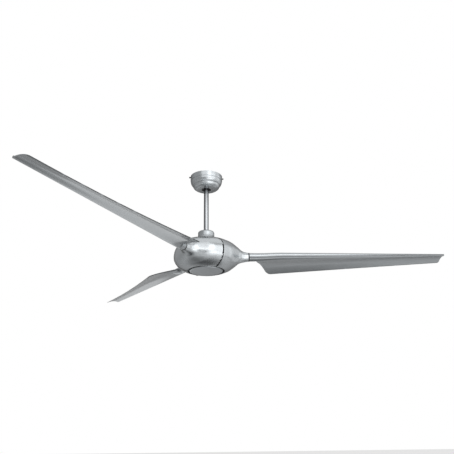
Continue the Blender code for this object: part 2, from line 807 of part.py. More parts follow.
def make_ball_seat(ball):
    """Nylon seat between socket and ball: a part of a hollow sphere, open below for the rod."""
    mat = make_material("seat_nylon", (0.10, 0.10, 0.11), 0.0, 0.6)
    outer_radius = SEAT_RADIUS + SEAT_WALL
    start = math.degrees(math.asin(SEAT_TOP / outer_radius))
    end = -math.degrees(math.acos(SEAT_HOLE_RADIUS / outer_radius))
    outer = arc_points((0.0, 0.0), outer_radius, outer_radius, start, end, SEAT_POINTS)
    start = math.degrees(math.asin(SEAT_TOP / SEAT_RADIUS))
    end = -math.degrees(math.acos(SEAT_HOLE_RADIUS / SEAT_RADIUS))
    inner = arc_points((0.0, 0.0), SEAT_RADIUS, SEAT_RADIUS, start, end, SEAT_POINTS)
    turned("ball_seat", outer + inner[::-1], SMALL_STEPS, mat, parent=ball)


def make_hanger_ball(ball):
    """Ball with a bore for the rod and a cross hole for its pin."""
    mat = make_material("ball_plastic", (0.05, 0.05, 0.05), 0.0, 0.4)
    start = math.degrees(math.asin(BALL_TOP / BALL_RADIUS))
    end = -math.degrees(math.asin(BALL_BOTTOM / BALL_RADIUS))
    # The ball's facets stay inside its seat's
    outer = arc_points((0.0, 0.0), BALL_RADIUS, BALL_RADIUS, start, end, BALL_POINTS)
    bore = ROD_RADIUS + SEAT_GAP
    outline = outer + [(bore, -BALL_BOTTOM), (bore, BALL_TOP)]
    obj = turned("hanger_ball", outline, SMALL_STEPS, mat, parent=ball)
    reach = BALL_RADIUS + OVERRUN
    hole = cylinder("ball_pin_hole", BALL_PIN_RADIUS + SCREW_GAP, -reach, reach, SCREW_STEPS, axis="X")
    hole.location.z = -BALL_DROP + BALL_PIN_RISE
    boolean(obj, hole)
    steel = make_material("pin_steel", (0.5, 0.5, 0.5), 0.9, 0.35)
    pin = cylinder(
        "ball_pin",
        BALL_PIN_RADIUS,
        -BALL_PIN_LENGTH / 2.0,
        BALL_PIN_LENGTH / 2.0,
        SCREW_STEPS,
        steel,
        "X",
        ball,
    )
    pin.location.z = BALL_PIN_RISE


def make_downrod(ball):
    """Straight tube from the ball to the coupling, cross drilled at both ends."""
    mat = make_material("rod_silver", SILVER, 0.85, 0.3)
    top = ROD_TOP_ABOVE_BALL
    foot = HUB_Z + ROD_END_HEIGHT + BALL_DROP
    inner = ROD_RADIUS - ROD_WALL
    outline = ((ROD_RADIUS, top), (ROD_RADIUS, foot), (inner, foot), (inner, top))
    rod = turned("downrod", outline, SMALL_STEPS, mat, parent=ball)
    reach = ROD_RADIUS + OVERRUN
    holes = (
        (BALL_PIN_RADIUS, -BALL_DROP + BALL_PIN_RISE),
        (CLEVIS_RADIUS, HUB_Z + CLEVIS_HEIGHT),
    )
    for index, (radius, height) in enumerate(holes):
        hole = cylinder("rod_hole_" + str(index), radius + SCREW_GAP, -reach, reach, SCREW_STEPS, axis="X")
        hole.location.z = height
        boolean(rod, hole)


def make_coupling(hub):
    """Steel collar that joins the rod to the motor shaft, with its pins and set screws."""
    mat = make_material("coupling_steel", (0.45, 0.45, 0.46), 0.9, 0.4)
    rod_bore = ROD_RADIUS + SEAT_GAP
    shaft_bore = SHAFT_RADIUS + SEAT_GAP
    ledge = ROD_END_HEIGHT - SEAT_GAP
    roof = SHAFT_TOP_HEIGHT + SEAT_GAP
    outline = (
        (COUPLING_RADIUS - COUPLING_CHAMFER, COUPLING_TOP_HEIGHT),
        (COUPLING_RADIUS, COUPLING_TOP_HEIGHT - COUPLING_CHAMFER),
        (COUPLING_RADIUS, COUPLING_FOOT_HEIGHT + COUPLING_CHAMFER),
        (COUPLING_RADIUS - COUPLING_CHAMFER, COUPLING_FOOT_HEIGHT),
        (shaft_bore, COUPLING_FOOT_HEIGHT),
        (shaft_bore, roof),
        (SHAFT_BORE_RADIUS, roof),
        (SHAFT_BORE_RADIUS, ledge),
        (rod_bore, ledge),
        (rod_bore, COUPLING_TOP_HEIGHT),
    )
    obj = turned("rod_coupling", outline, SMALL_STEPS, mat, parent=hub)
    reach = COUPLING_RADIUS + OVERRUN
    pin_hole = cylinder("coupling_pin_hole", CLEVIS_RADIUS + SCREW_GAP, -reach, reach, SCREW_STEPS, axis="X")
    pin_hole.location.z = HUB_Z + CLEVIS_HEIGHT
    boolean(obj, pin_hole)
    set_bore = SET_SCREW_RADIUS + SCREW_GAP
    set_hole = cylinder("coupling_set_hole", set_bore, -reach, reach, SCREW_STEPS, axis="Y")
    set_hole.location.z = HUB_Z + SET_SCREW_HEIGHT
    boolean(obj, set_hole)

    low = ROD_RADIUS + SEAT_GAP
    high = COUPLING_RADIUS - SET_SCREW_SINK
    screw = cylinder("coupling_set_screw", SET_SCREW_RADIUS, low, high, SCREW_STEPS, axis="Y")
    screw.location.z = SET_SCREW_HEIGHT
    dark = make_material("set_screw_dark", (0.08, 0.08, 0.08), 0.6, 0.4)
    mesh = baked(screw, "coupling_set_screw")
    ring_of_pieces("coupling_set_screw", mesh, [0.0, TURN / 2.0], dark, hub)
    make_clevis_pin(hub)


def make_clevis_pin(hub):
    """Headed pin through coupling and rod, held by a cotter pin."""
    steel = make_material("pin_steel", (0.5, 0.5, 0.5), 0.9, 0.35)
    seat = COUPLING_RADIUS + SEAT_GAP
    outline = (
        (0.0, seat + CLEVIS_HEAD),
        (CLEVIS_HEAD_RADIUS, seat + CLEVIS_HEAD),
        (CLEVIS_HEAD_RADIUS, seat),
        (CLEVIS_RADIUS, seat),
        (CLEVIS_RADIUS, -seat - CLEVIS_TAIL),
        (0.0, -seat - CLEVIS_TAIL),
    )
    pin = turned("clevis_pin", outline, SCREW_STEPS, steel, closed=False, parent=hub)
    pin.location.z = CLEVIS_HEIGHT
    pin.rotation_euler.y = TURN / 4.0
    cotter_reach = -(seat + CLEVIS_TAIL / 2.0)
    bpy.context.view_layer.update()
    hole = cylinder(
        "cotter_hole",
        COTTER_RADIUS + SCREW_GAP,
        -CLEVIS_RADIUS - OVERRUN,
        CLEVIS_RADIUS + OVERRUN,
        SCREW_STEPS,
        centre=(cotter_reach, 0.0),
    )
    hole.location.z = HUB_Z + CLEVIS_HEIGHT
    boolean(pin, hole)
    path = [(0.0, 0.0, -COTTER_LEG)]
    eye = CLEVIS_RADIUS + SEAT_GAP + COTTER_RADIUS
    path.append((0.0, 0.0, eye))
    centre = eye + COTTER_EYE_RADIUS
    for index in range(7):
        angle = math.radians(-60.0 + 50.0 * index)
        path.append((0.0, COTTER_EYE_RADIUS * math.cos(angle), centre + COTTER_EYE_RADIUS * math.sin(angle)))
    cotter = wire("cotter_pin", path, COTTER_RADIUS, steel, hub)
    cotter.matrix_world = Matrix.Translation((cotter_reach, 0.0, CLEVIS_HEIGHT + HUB_Z))


def make_coupling_cover(hub):
    """Short spun cup over the coupling, resting on it, with a flared foot."""
    mat = make_material("cover_silver", SILVER, 0.85, 0.32)
    hole = ROD_RADIUS + RUN_GAP
    foot_radius = COVER_RADIUS + COVER_FLARE
    outer = [(hole, COVER_TOP_HEIGHT)]
    centre = (COVER_RADIUS - COVER_SHOULDER, COVER_TOP_HEIGHT - COVER_SHOULDER)
    outer += arc_points(centre, COVER_SHOULDER, COVER_SHOULDER, 90.0, 0.0, COVER_SHOULDER_POINTS)
    outer.append((COVER_RADIUS, COVER_FOOT_HEIGHT + COVER_FLARE_HEIGHT))
    outer.append((COVER_RADIUS + COVER_FLARE / 3.0, COVER_FOOT_HEIGHT + COVER_FLARE_HEIGHT * 2.0 / 3.0))
    outer.append((foot_radius, COVER_FOOT_HEIGHT))
    shoulder = (COVER_RADIUS, COVER_TOP_HEIGHT - COVER_SHOULDER)
    inner = [outer[0], (COVER_RADIUS - COVER_SHOULDER, COVER_TOP_HEIGHT), shoulder, outer[-3], outer[-1]]
    inner = offset_line(inner, COVER_WALL)
    turned("coupling_cover", outer + inner[::-1], MID_STEPS, mat, parent=hub)


# Housing pods


def housing_height(radius, crown):
    """Height of the turned body's surface at a radius."""
    share = min(radius / HOUSING_RADIUS, 1.0)
    return crown * (1.0 - share ** HOUSING_ROUNDNESS) ** (1.0 / HOUSING_ROUNDNESS)


def flow_value(share, column, start, end):
    """A pod's width or height on its way from the body to the neck."""
    table = POD_FLOW_SHARES
    for low, high in zip(table, table[1:]):
        if share <= high[0]:
            part = (share - low[0]) / (high[0] - low[0])
            value = low[column] + (high[column] - low[column]) * part
            return end + (start - end) * value
    return end


def pod_sizes(reach):
    """Half width, height above and depth below the blade plane at a reach along the pod."""
    shoulder = HOUSING_RADIUS * POD_SHOULDER_SHARE
    if reach <= shoulder:
        width = math.sqrt(HOUSING_RADIUS ** 2 - reach ** 2)
        top = housing_height(reach, HOUSING_TOP)
        bottom = housing_height(reach, HOUSING_BOTTOM)
        return width, top, bottom, HOUSING_ROUNDNESS
    share = (reach - shoulder) / (NECK_END - shoulder)
    width, top, bottom, power = pod_sizes(shoulder)
    return (
        flow_value(share, 3, width, NECK_RADIUS),
        flow_value(share, 1, top, NECK_RADIUS),
        flow_value(share, 2, bottom, NECK_RADIUS),
        2.0 + (power - 2.0) * (1.0 - share),
    )


def pod_loop(reach, inset, count, place):
    """One section of the pod, an oval of unlike top and bottom, at a place along X."""
    width, top, bottom, power = pod_sizes(reach)
    points = []
    for index in range(count):
        angle = TURN * index / count
        side = math.sin(angle)
        up = math.cos(angle)
        height = top if up >= 0.0 else bottom
        y = (width - inset) * math.copysign(abs(side) ** (2.0 / power), side)
        z = (height - inset) * math.copysign(abs(up) ** (2.0 / power), up)
        points.append((place, y, z))
    return points


def loft(name, loops):
    """A closed skin over loops of equal point counts, closed flat at both ends."""
    bm = bmesh.new()
    rings = [[bm.verts.new(point) for point in loop] for loop in loops]
    count = len(loops[0])
    for near, far in zip(rings, rings[1:]):
        for index in range(count):
            after = (index + 1) % count
            bm.faces.new((near[index], near[after], far[after], far[index]))
    bm.faces.new(rings[0][::-1])
    bm.faces.new(rings[-1])
    return mesh_from_bmesh(name, bm)


def pod_reaches():
    """Where the pod's sections lie."""
    shoulder = HOUSING_RADIUS * POD_SHOULDER_SHARE
    reaches = [0.0] + [HOUSING_RADIUS * share for share in POD_INNER_SHARES]
    for share, _, _, _ in POD_FLOW_SHARES[1:]:
        reaches.append(shoulder + (NECK_END - shoulder) * share)
    return reaches


def pod_solid():
    """Outer skin less inner skin: the pod before it is cut at its seams."""
    reaches = pod_reaches()
    outer = loft("pod_outer", [pod_loop(reach, 0.0, POD_POINTS, reach) for reach in reaches])
    loops = []
    reaches = reaches[:1] + reaches[2:]
    for index, reach in enumerate(reaches):
        share = reach / NECK_END
        inset = HOUSING_WALL + (NECK_WALL - HOUSING_WALL) * share
        place = reach
        if index == 0:
            place = -OVERRUN
        if index == len(reaches) - 1:
            place = reach + OVERRUN
        loops.append(pod_loop(reach, inset, POD_INNER_POINTS, place))
    inner = loft("pod_inner", loops)
    pod = add_piece("pod", outer, None)
    boolean(pod, add_piece("pod_inner", inner, None))
    return pod


def seam_wedge():
    """A wide wedge between two seams, drawn back by half a seam gap."""
    turn = math.radians(SEAM_TURN_DEG)
    half = TURN / (2.0 * BLADE_COUNT)
    apex = SEAM_GAP / 2.0 / math.sin(half)
    far = (NECK_END + OVERRUN) / math.cos(half)
    far = far + HOUSING_RADIUS
    points = [(apex * math.cos(turn), apex * math.sin(turn))]
    for side in (-half, half):
        points.append((
            points[0][0] + far * math.cos(turn + side),
            points[0][1] + far * math.sin(turn + side),
        ))
    height = (HOUSING_TOP + HOUSING_BOTTOM) * 2.0
    return outline_slab("seam_wedge", [points], height)


def make_pods(hub):
    """Three cast shells that meet at the seams and flow out into the necks."""
    mat = make_material("pod_silver", SILVER, 0.85, 0.3)
    pod = pod_solid()
    rim = turned(
        "pod_rim",
        (
            (HOUSING_MOUTH + LIP_WALL, flange_height()),
            (HOUSING_MOUTH + LIP_WALL, lip_foot()),
            (FLANGE_INNER_RADIUS, lip_foot()),
            (FLANGE_INNER_RADIUS, flange_height()),
        ),
        MOUTH_STEPS,
    )
    boolean(pod, rim, "UNION")
    mouth = cylinder(
        "pod_mouth",
        HOUSING_MOUTH,
        -HOUSING_BOTTOM - OVERRUN,
        flange_height() - FLANGE_THICKNESS,
        MOUTH_STEPS,
    )
    boolean(pod, mouth)
    boolean(pod, cylinder("pod_top_hole", HOUSING_TOP_HOLE, 0.0, HOUSING_TOP + OVERRUN, BIG_STEPS))
    boolean(pod, seam_wedge(), "INTERSECT")
    place = (POD_TOP_SCREW_REACH, 0.0)
    boss = cylinder("pod_boss", POST_TOP_RADIUS, pod_boss_foot(), pod_screw_seat(), SCREW_STEPS, centre=place)
    boolean(pod, boss, "UNION")
    hole = POD_SCREW_RADIUS + SCREW_GAP
    top_hole = cylinder(
        "pod_top_screw_hole",
        hole,
        HOUSING_TOP / 2.0,
        HOUSING_TOP + OVERRUN,
        SCREW_STEPS,
        centre=(POD_TOP_SCREW_REACH, 0.0),
    )
    boolean(pod, top_hole)
    sink = cylinder(
        "pod_top_screw_sink",
        POD_SCREW_HEAD_RADIUS + SCREW_GAP,
        pod_screw_seat(),
        HOUSING_TOP + OVERRUN,
        SCREW_STEPS,
        centre=(POD_TOP_SCREW_REACH, 0.0),
    )
    boolean(pod, sink)
    place = (POD_BOTTOM_SCREW_REACH, 0.0)
    boolean(pod, cylinder("pod_bottom_screw_hole", hole, -HOUSING_BOTTOM, 0.0, SCREW_STEPS, centre=place))
    mesh = fixed_mesh(pod, "housing_pod")
    ring_of_pieces("housing_pod", mesh, blade_angles(), mat, hub, 30.0)


def lip_foot():
    """Height of the foot of the lip round the mouth, just inside the pods' surface."""
    return LIP_RISE - housing_height(HOUSING_MOUTH + LIP_WALL, HOUSING_BOTTOM)


def flange_height():
    """Height of the top of the inner flange that the bottom screws go through."""
    return lip_foot() + LIP_DEPTH


def pod_boss_foot():
    """Height of the foot of the boss inside a pod's top, which rests on the bell's post."""
    surface = housing_height(POD_TOP_SCREW_REACH + POST_TOP_RADIUS, HOUSING_TOP)
    return surface - HOUSING_WALL - POD_BOSS_DEPTH


def pod_screw_seat():
    """Height of the ledge under a sunk screw head in a pod's top."""
    surface = housing_height(POD_TOP_SCREW_REACH + POD_SCREW_HEAD_RADIUS, HOUSING_TOP)
    return surface - POD_SCREW_HEAD / 2.0


def make_pod_screws(hub):
    """A sunk screw in each pod's top and a screw up through its bottom flange."""
    mat = make_material("set_screw_dark", (0.08, 0.08, 0.08), 0.6, 0.4)
    head = POD_SCREW_HEAD / 2.0
    screw = screw_shape("pod_top_screw", POD_SCREW_HEAD_RADIUS, head, POD_SCREW_RADIUS, POD_SCREW_LENGTH)
    screw.location = (POD_TOP_SCREW_REACH, 0.0, pod_screw_seat() + SEAT_GAP)
    ring_of_pieces("pod_top_screw", baked(screw, "pod_top_screw"), blade_angles(), mat, hub)
    head = POD_SCREW_HEAD
    screw = screw_shape("pod_bottom_screw", POD_SCREW_HEAD_RADIUS, head, POD_SCREW_RADIUS, POD_SCREW_LENGTH)
    screw.location = (POD_BOTTOM_SCREW_REACH, 0.0, flange_height() - FLANGE_THICKNESS - SEAT_GAP)
    screw.rotation_euler.x = TURN / 2.0
    ring_of_pieces("pod_bottom_screw", baked(screw, "pod_bottom_screw"), blade_angles(), mat, hub)


def make_neck_rings(hub):
    """Dark rubber rings in the joints between pod necks and blade tubes."""
    mat = make_material("neck_rubber", (0.02, 0.02, 0.02), 0.0, 0.7)
    low = NECK_END + SEAT_GAP
    high = BLADE_START - SEAT_GAP
    bore = SPIGOT_RADIUS + SEAT_GAP
    outline = ((NECK_RING_RADIUS, high), (NECK_RING_RADIUS, low), (bore, low), (bore, high))
    ring = turned("neck_ring", outline, SMALL_STEPS)
    ring.rotation_euler.y = TURN / 4.0
    ring_of_pieces("neck_ring", baked(ring, "neck_ring"), blade_angles(), mat, hub)


# Blades


def blend(low, high, share):
    """Straight blend between two values."""
    return low + (high - low) * share


def smooth_step(value, low, high):
    """A smooth rise from 0 to 1 between two places."""
    share = min(max((value - low) / (high - low), 0.0), 1.0)
    return share * share * (3.0 - 2.0 * share)


def leading_edge(reach):
    """Centre of the leading edge roll and its radius."""
    share = (reach - BLADE_START) / (SWEEP_RADIUS - BLADE_START)
    ramp = smooth_step(reach, EDGE_RAMP_START, EDGE_RAMP_END)
    y = -EDGE_LEAD * ramp
    z = blend(EDGE_ROOT_RISE, EDGE_TIP_RISE, share) * ramp
    return Vector((y, z)), blend(TUBE_RADIUS, EDGE_ROLL_TIP_RADIUS, share)


def trailing_edge(reach):
    """The trailing edge line, a shallow hollow from the root corner to the tip."""
    share = (reach - TRAIL_START) / (SWEEP_RADIUS - TRAIL_START)
    hollow = 4.0 * share * (1.0 - share)
    y = blend(TRAIL_ROOT_SPAN, TRAIL_TIP_SPAN, share) - TRAIL_HOLLOW * hollow
    z = -blend(TRAIL_ROOT_DROP, TRAIL_TIP_DROP, share) - TRAIL_SAG * hollow
    return Vector((y, z))


def blade_stations():
    """Reach and cut-off span of each section; no span means the bare root tube."""
    stations = [(BLADE_START, None), (ROOT_EDGE_START, None)]
    run = ROOT_EDGE_END - ROOT_EDGE_START
    for reach_share, span_share in ROOT_EDGE_SHARES:
        stations.append((ROOT_EDGE_START + run * reach_share, TRAIL_ROOT_SPAN * span_share))
    tip_start = SWEEP_RADIUS - TIP_CORNER_RADIUS
    for share in SPAN_SHARES:
        reach = blend(ROOT_EDGE_END, tip_start, share)
        stations.append((reach, trailing_edge(reach).x))
    for turn in TIP_CORNER_TURNS:
        angle = math.radians(turn)
        reach = tip_start + TIP_CORNER_RADIUS * math.sin(angle)
        span = trailing_edge(reach).x - TIP_CORNER_RADIUS * (1.0 - math.cos(angle))
        stations.append((reach, span))
    return stations


def plate_point(reach, share, side):
    """A point of the cambered plate, above (side 1) or below (side -1) its middle line."""
    lead, _ = leading_edge(reach)
    trail = trailing_edge(reach)
    chord = trail - lead
    normal = Vector((-chord.y, chord.x)).normalized()
    out = min(max((reach - BLADE_START) / (SWEEP_RADIUS - BLADE_START), 0.0), 1.0)
    camber = blend(CAMBER_ROOT_SHARE, CAMBER_TIP_SHARE, out) * chord.length
    thick = blend(PLATE_ROOT_THICKNESS, PLATE_TIP_THICKNESS, out)
    edge = blend(PLATE_EDGE_ROOT, PLATE_EDGE_TIP, out)
    half = blend(thick, edge, share) / 2.0
    middle = lead + chord * share + normal * camber * 4.0 * share * (1.0 - share)
    return middle + normal * half * side


def blade_loop(reach, span):
    """One section: round the leading roll, along the top, round the edge and back below."""
    lead, roll = leading_edge(reach)
    trail = trailing_edge(reach)
    chord = trail - lead
    out = (reach - BLADE_START) / (SWEEP_RADIUS - BLADE_START)
    half = blend(PLATE_ROOT_THICKNESS, PLATE_TIP_THICKNESS, out) / 2.0
    start = math.sqrt(max(roll ** 2 - half ** 2, 0.0)) / chord.length
    upper = plate_point(reach, start, 1.0) - lead
    lower = plate_point(reach, start, -1.0) - lead
    high_angle = math.atan2(upper.y, upper.x)
    low_angle = math.atan2(lower.y, lower.x)
    points = []
    sweep = TURN - (high_angle - low_angle)
    for index in range(ROLL_POINTS):
        angle = low_angle - sweep * index / (ROLL_POINTS - 1)
        points.append(lead + Vector((math.cos(angle), math.sin(angle))) * roll)
    if span is None:
        rest = 2 * len(PLATE_SHARES) + 1
        for index in range(1, rest + 1):
            angle = high_angle + (low_angle - high_angle) * index / (rest + 1)
            points.append(lead + Vector((math.cos(angle), math.sin(angle))) * roll)
        return [(reach, point.x, point.y) for point in points]
    end = (span - lead.x) / chord.x
    for share in PLATE_SHARES:
        points.append(plate_point(reach, blend(start, end, share), 1.0))
    points.append(plate_point(reach, end, 0.0))
    for share in PLATE_SHARES[::-1]:
        points.append(plate_point(reach, blend(start, end, share), -1.0))
    return [(reach, point.x, point.y) for point in points]


def make_blades(hub):
    """Three twisted, cambered blades that share one lofted shape."""
    mat = make_material("blade_silver", (0.52, 0.53, 0.55), 0.8, 0.34)
    loops = [blade_loop(reach, span) for reach, span in blade_stations()]
    blade = add_piece("blade", loft("blade", loops), None)
    bore = cylinder(
        "blade_bore",
        BLADE_BORE_RADIUS,
        BLADE_START - OVERRUN,
        TUBE_BORE_END,
        SMALL_STEPS,
        axis="X",
    )
    boolean(blade, bore)
    for reach in BLADE_SCREW_REACHES:
        hole = cylinder(
            "blade_screw_hole",
            BLADE_SCREW_RADIUS + SCREW_GAP,
            0.0,
            TUBE_RADIUS + OVERRUN,
            SCREW_STEPS,
            centre=(reach, 0.0),
        )
        boolean(blade, hole)
        sink = cylinder(
            "blade_screw_sink",
            BLADE_SCREW_HEAD_RADIUS + SCREW_GAP,
            blade_screw_seat(),
            TUBE_RADIUS + OVERRUN,
            SCREW_STEPS,
            centre=(reach, 0.0),
        )
        boolean(blade, sink)
    mesh = fixed_mesh(blade, "blade")
    ring_of_pieces("blade", mesh, blade_angles(), mat, hub, 40.0)


def blade_screw_seat():
    """Height of the ledge under a blade screw's head."""
    return TUBE_RADIUS - BLADE_SCREW_SINK - BLADE_SCREW_HEAD - SEAT_GAP


def make_blade_screws(hub):
    """Screws from above through each blade's root tube into its arm."""
    mat = make_material("pin_steel", (0.5, 0.5, 0.5), 0.9, 0.35)
    for place, reach in zip(("inner", "outer"), BLADE_SCREW_REACHES):
        name = "blade_screw_" + place
        size = BLADE_SCREW_HEAD_RADIUS
        screw = screw_shape(name, size, BLADE_SCREW_HEAD, BLADE_SCREW_RADIUS, BLADE_SCREW_LENGTH)
        screw.location = (reach, 0.0, blade_screw_seat() + SEAT_GAP)
        ring_of_pieces(name, baked(screw, name), blade_angles(), mat, hub)


def make_arms(hub):
    """Cast arms bolted to the rotor ring; each spigot carries a blade's root tube.

    Each arm's two bolts are one body with it and reach into the ring's holes.
    """
    mat = make_material("arm_alloy", (0.5, 0.5, 0.52), 0.8, 0.5)
    seat = ROTOR_RING_RADIUS + SEAT_GAP
    face = seat + ARM_PAD_THICKNESS
    low = ROTOR_RING_RADIUS / 2.0
    pad = box(
        "blade_arm",
        (low, -ARM_PAD_WIDTH / 2.0, -ARM_PAD_HEIGHT / 2.0),
        (face, ARM_PAD_WIDTH / 2.0, ARM_PAD_HEIGHT / 2.0),
    )
    spigot = cylinder("arm_spigot", SPIGOT_RADIUS, face - OVERRUN, ARM_SPIGOT_END, SMALL_STEPS, axis="X")
    boolean(pad, spigot, "UNION")
    reach = ARM_PAD_HEIGHT
    boolean(pad, cylinder("arm_ring_cut", seat, -reach, reach, ROTOR_STEPS))
    length = ARM_PAD_THICKNESS + SEAT_GAP + ROTOR_RING_WALL
    for side in (-1.0, 1.0):
        screw = screw_shape("arm_screw", ARM_SCREW_HEAD_RADIUS, ARM_SCREW_HEAD, ARM_SCREW_RADIUS, length)
        screw.location = (face - SEAT_GAP, 0.0, side * ARM_SCREW_HEIGHT)
        screw.rotation_euler.y = TURN / 4.0
        boolean(pad, screw, "UNION")
    for place in BLADE_SCREW_REACHES:
        hole = cylinder(
            "arm_blade_screw_hole",
            BLADE_SCREW_RADIUS + SCREW_GAP,
            0.0,
            TUBE_RADIUS,
            SCREW_STEPS,
            centre=(place, 0.0),
        )
        boolean(pad, hole)
    mesh = fixed_mesh(pad, "blade_arm")
    ring_of_pieces("blade_arm", mesh, blade_angles(), mat, hub)


# Motor


def make_shaft(hub):
    """Hollow fixed shaft with a thick middle that the bearings and the core stop against."""
    mat = make_material("shaft_steel", (0.5, 0.5, 0.51), 0.9, 0.3)
    outline = (
        (SHAFT_RADIUS, SHAFT_TOP_HEIGHT),
        (SHAFT_RADIUS, SHOULDER_HALF_LENGTH),
        (SHAFT_SHOULDER_RADIUS, SHOULDER_HALF_LENGTH),
        (SHAFT_SHOULDER_RADIUS, -SHOULDER_HALF_LENGTH),
        (SHAFT_RADIUS, -SHOULDER_HALF_LENGTH),
        (SHAFT_RADIUS, SHAFT_FOOT_HEIGHT),
        (SHAFT_BORE_RADIUS, SHAFT_FOOT_HEIGHT),
        (SHAFT_BORE_RADIUS, SHAFT_TOP_HEIGHT),
    )
    turned("motor_shaft", outline, SMALL_STEPS, mat, parent=hub)


def groove(inner):
    """Ring groove points round the ball circle, from above to below or back."""
    radius = BEARING_BALL_RADIUS + GROOVE_GAP
    spread = math.degrees(math.acos(RING_SHOULDER / radius))
    if inner:
        centre = (BEARING_PITCH_RADIUS, 0.0)
        return arc_points(centre, radius, radius, 180.0 - spread, 180.0 + spread, GROOVE_POINTS)
    return arc_points((BEARING_PITCH_RADIUS, 0.0), radius, radius, -spread, spread, GROOVE_POINTS)


def make_bearing(hub, name, height):
    """Deep groove ball bearing: inner ring, outer ring, cage and balls."""
    steel = make_material("bearing_steel", (0.6, 0.6, 0.6), 0.95, 0.2)
    half = BEARING_WIDTH / 2.0
    inner_shoulder = BEARING_PITCH_RADIUS - RING_SHOULDER
    outer_shoulder = BEARING_PITCH_RADIUS + RING_SHOULDER
    outline = [(inner_shoulder, half)] + groove(True) + [(inner_shoulder, -half)]
    outline += [(BEARING_BORE_RADIUS, -half), (BEARING_BORE_RADIUS, half)]
    ring = turned(name + "_inner_ring", outline, SMALL_STEPS, steel, parent=hub)
    ring.location.z = height
    outline = [(BEARING_RADIUS, half), (BEARING_RADIUS, -half), (outer_shoulder, -half)]
    outline += groove(False) + [(outer_shoulder, half)]
    ring = turned(name + "_outer_ring", outline, SMALL_STEPS, steel, parent=hub)
    ring.location.z = height

    make_cage(hub, name, height)


def make_cage(hub, name, height):
    """Ball set: a thin cage ring with the balls held in it, as one turning unit."""
    brass = make_material("cage_brass", (0.55, 0.40, 0.18), 0.9, 0.35)
    outer = BEARING_PITCH_RADIUS + CAGE_WALL / 2.0
    inner = BEARING_PITCH_RADIUS - CAGE_WALL / 2.0
    half = CAGE_HEIGHT / 2.0
    outline = ((outer, half), (outer, -half), (inner, -half), (inner, half))
    cage = turned(name + "_cage", outline, BALLS_PER_BEARING * CAGE_FACETS, brass)

    def ball(label):
        bm = bmesh.new()
        bmesh.ops.create_uvsphere(bm, u_segments=6, v_segments=4, radius=BEARING_BALL_RADIUS)
        obj = add_piece(label, mesh_from_bmesh(label, bm), None)
        obj.location.x = BEARING_PITCH_RADIUS
        return obj

    angles = [TURN * (index + 0.5) / BALLS_PER_BEARING for index in range(BALLS_PER_BEARING)]
    boolean(cage, turned_set("bearing_balls", ball, angles), "UNION")
    mesh = fixed_mesh(cage, name + "_balls")
    piece = add_piece(name + "_balls", mesh, brass, hub)
    piece.location.z = height


def stator_outline():
    """Outline of the laminations: teeth with wide shoes round a yoke."""
    points = []
    pitch = TURN / STATOR_SLOTS
    shoe_half = pitch / 2.0 - math.radians(SHOE_GAP_DEG) / 2.0
    neck_radius = STATOR_RADIUS - STATOR_SHOE
    for index in range(STATOR_SLOTS):
        middle = pitch * index
        yoke_half = math.asin(TOOTH_WIDTH / 2.0 / STATOR_YOKE_RADIUS)
        neck_half = math.asin(TOOTH_WIDTH / 2.0 / neck_radius)
        places = (
            (STATOR_YOKE_RADIUS, -yoke_half),
            (neck_radius, -neck_half),
            (STATOR_RADIUS - STATOR_SHOE / 2.0, -shoe_half),
            (STATOR_RADIUS, -shoe_half),
            (STATOR_RADIUS, shoe_half),
            (STATOR_RADIUS - STATOR_SHOE / 2.0, shoe_half),
            (neck_radius, neck_half),
            (STATOR_YOKE_RADIUS, yoke_half),
        )
        for radius, angle in places:
            points.append((radius * math.cos(middle + angle), radius * math.sin(middle + angle)))
    return points


def make_stator(hub):
    """Laminated core on the shaft, with windings that fill its slots and join at both ends."""
    iron = make_material("stator_iron", (0.25, 0.26, 0.27), 0.8, 0.5)
    bore_radius = SHAFT_SHOULDER_RADIUS + SEAT_GAP
    bore = []
    for index in range(SMALL_STEPS):
        angle = -TURN * index / SMALL_STEPS
        bore.append((bore_radius * math.cos(angle), bore_radius * math.sin(angle)))
    core = outline_slab("stator_core", [stator_outline(), bore], STATOR_HEIGHT, iron)
    core.parent = hub
    copper = make_material("winding_copper", (0.50, 0.20, 0.08), 0.8, 0.35)

    high = STATOR_HEIGHT / 2.0 + COIL_OVERHANG
    rounded = high - COIL_ROUND
    outline = (
        (COIL_END - COIL_ROUND, high),
        (COIL_END, rounded),
        (COIL_END, -rounded),
        (COIL_END - COIL_ROUND, -high),
        (COIL_START, -high),
        (COIL_START, high),
    )
    winding = turned("stator_windings", outline, STATOR_SLOTS * 2, copper)
    angles = [TURN * index / STATOR_SLOTS for index in range(STATOR_SLOTS)]
    boolean(winding, turned_set("tooth_windows", tooth_window, angles))
    mesh = fixed_mesh(winding, "stator_windings")
    add_piece("stator_windings", mesh, copper, hub)


def tooth_window(name):
    """The space that one tooth takes in the windings."""
    width = TOOTH_WIDTH / 2.0 + SCREW_GAP
    height = STATOR_HEIGHT / 2.0 + SEAT_GAP
    low = (COIL_START - OVERRUN, -width, -height)
    return box(name, low, (COIL_END + OVERRUN, width, height))


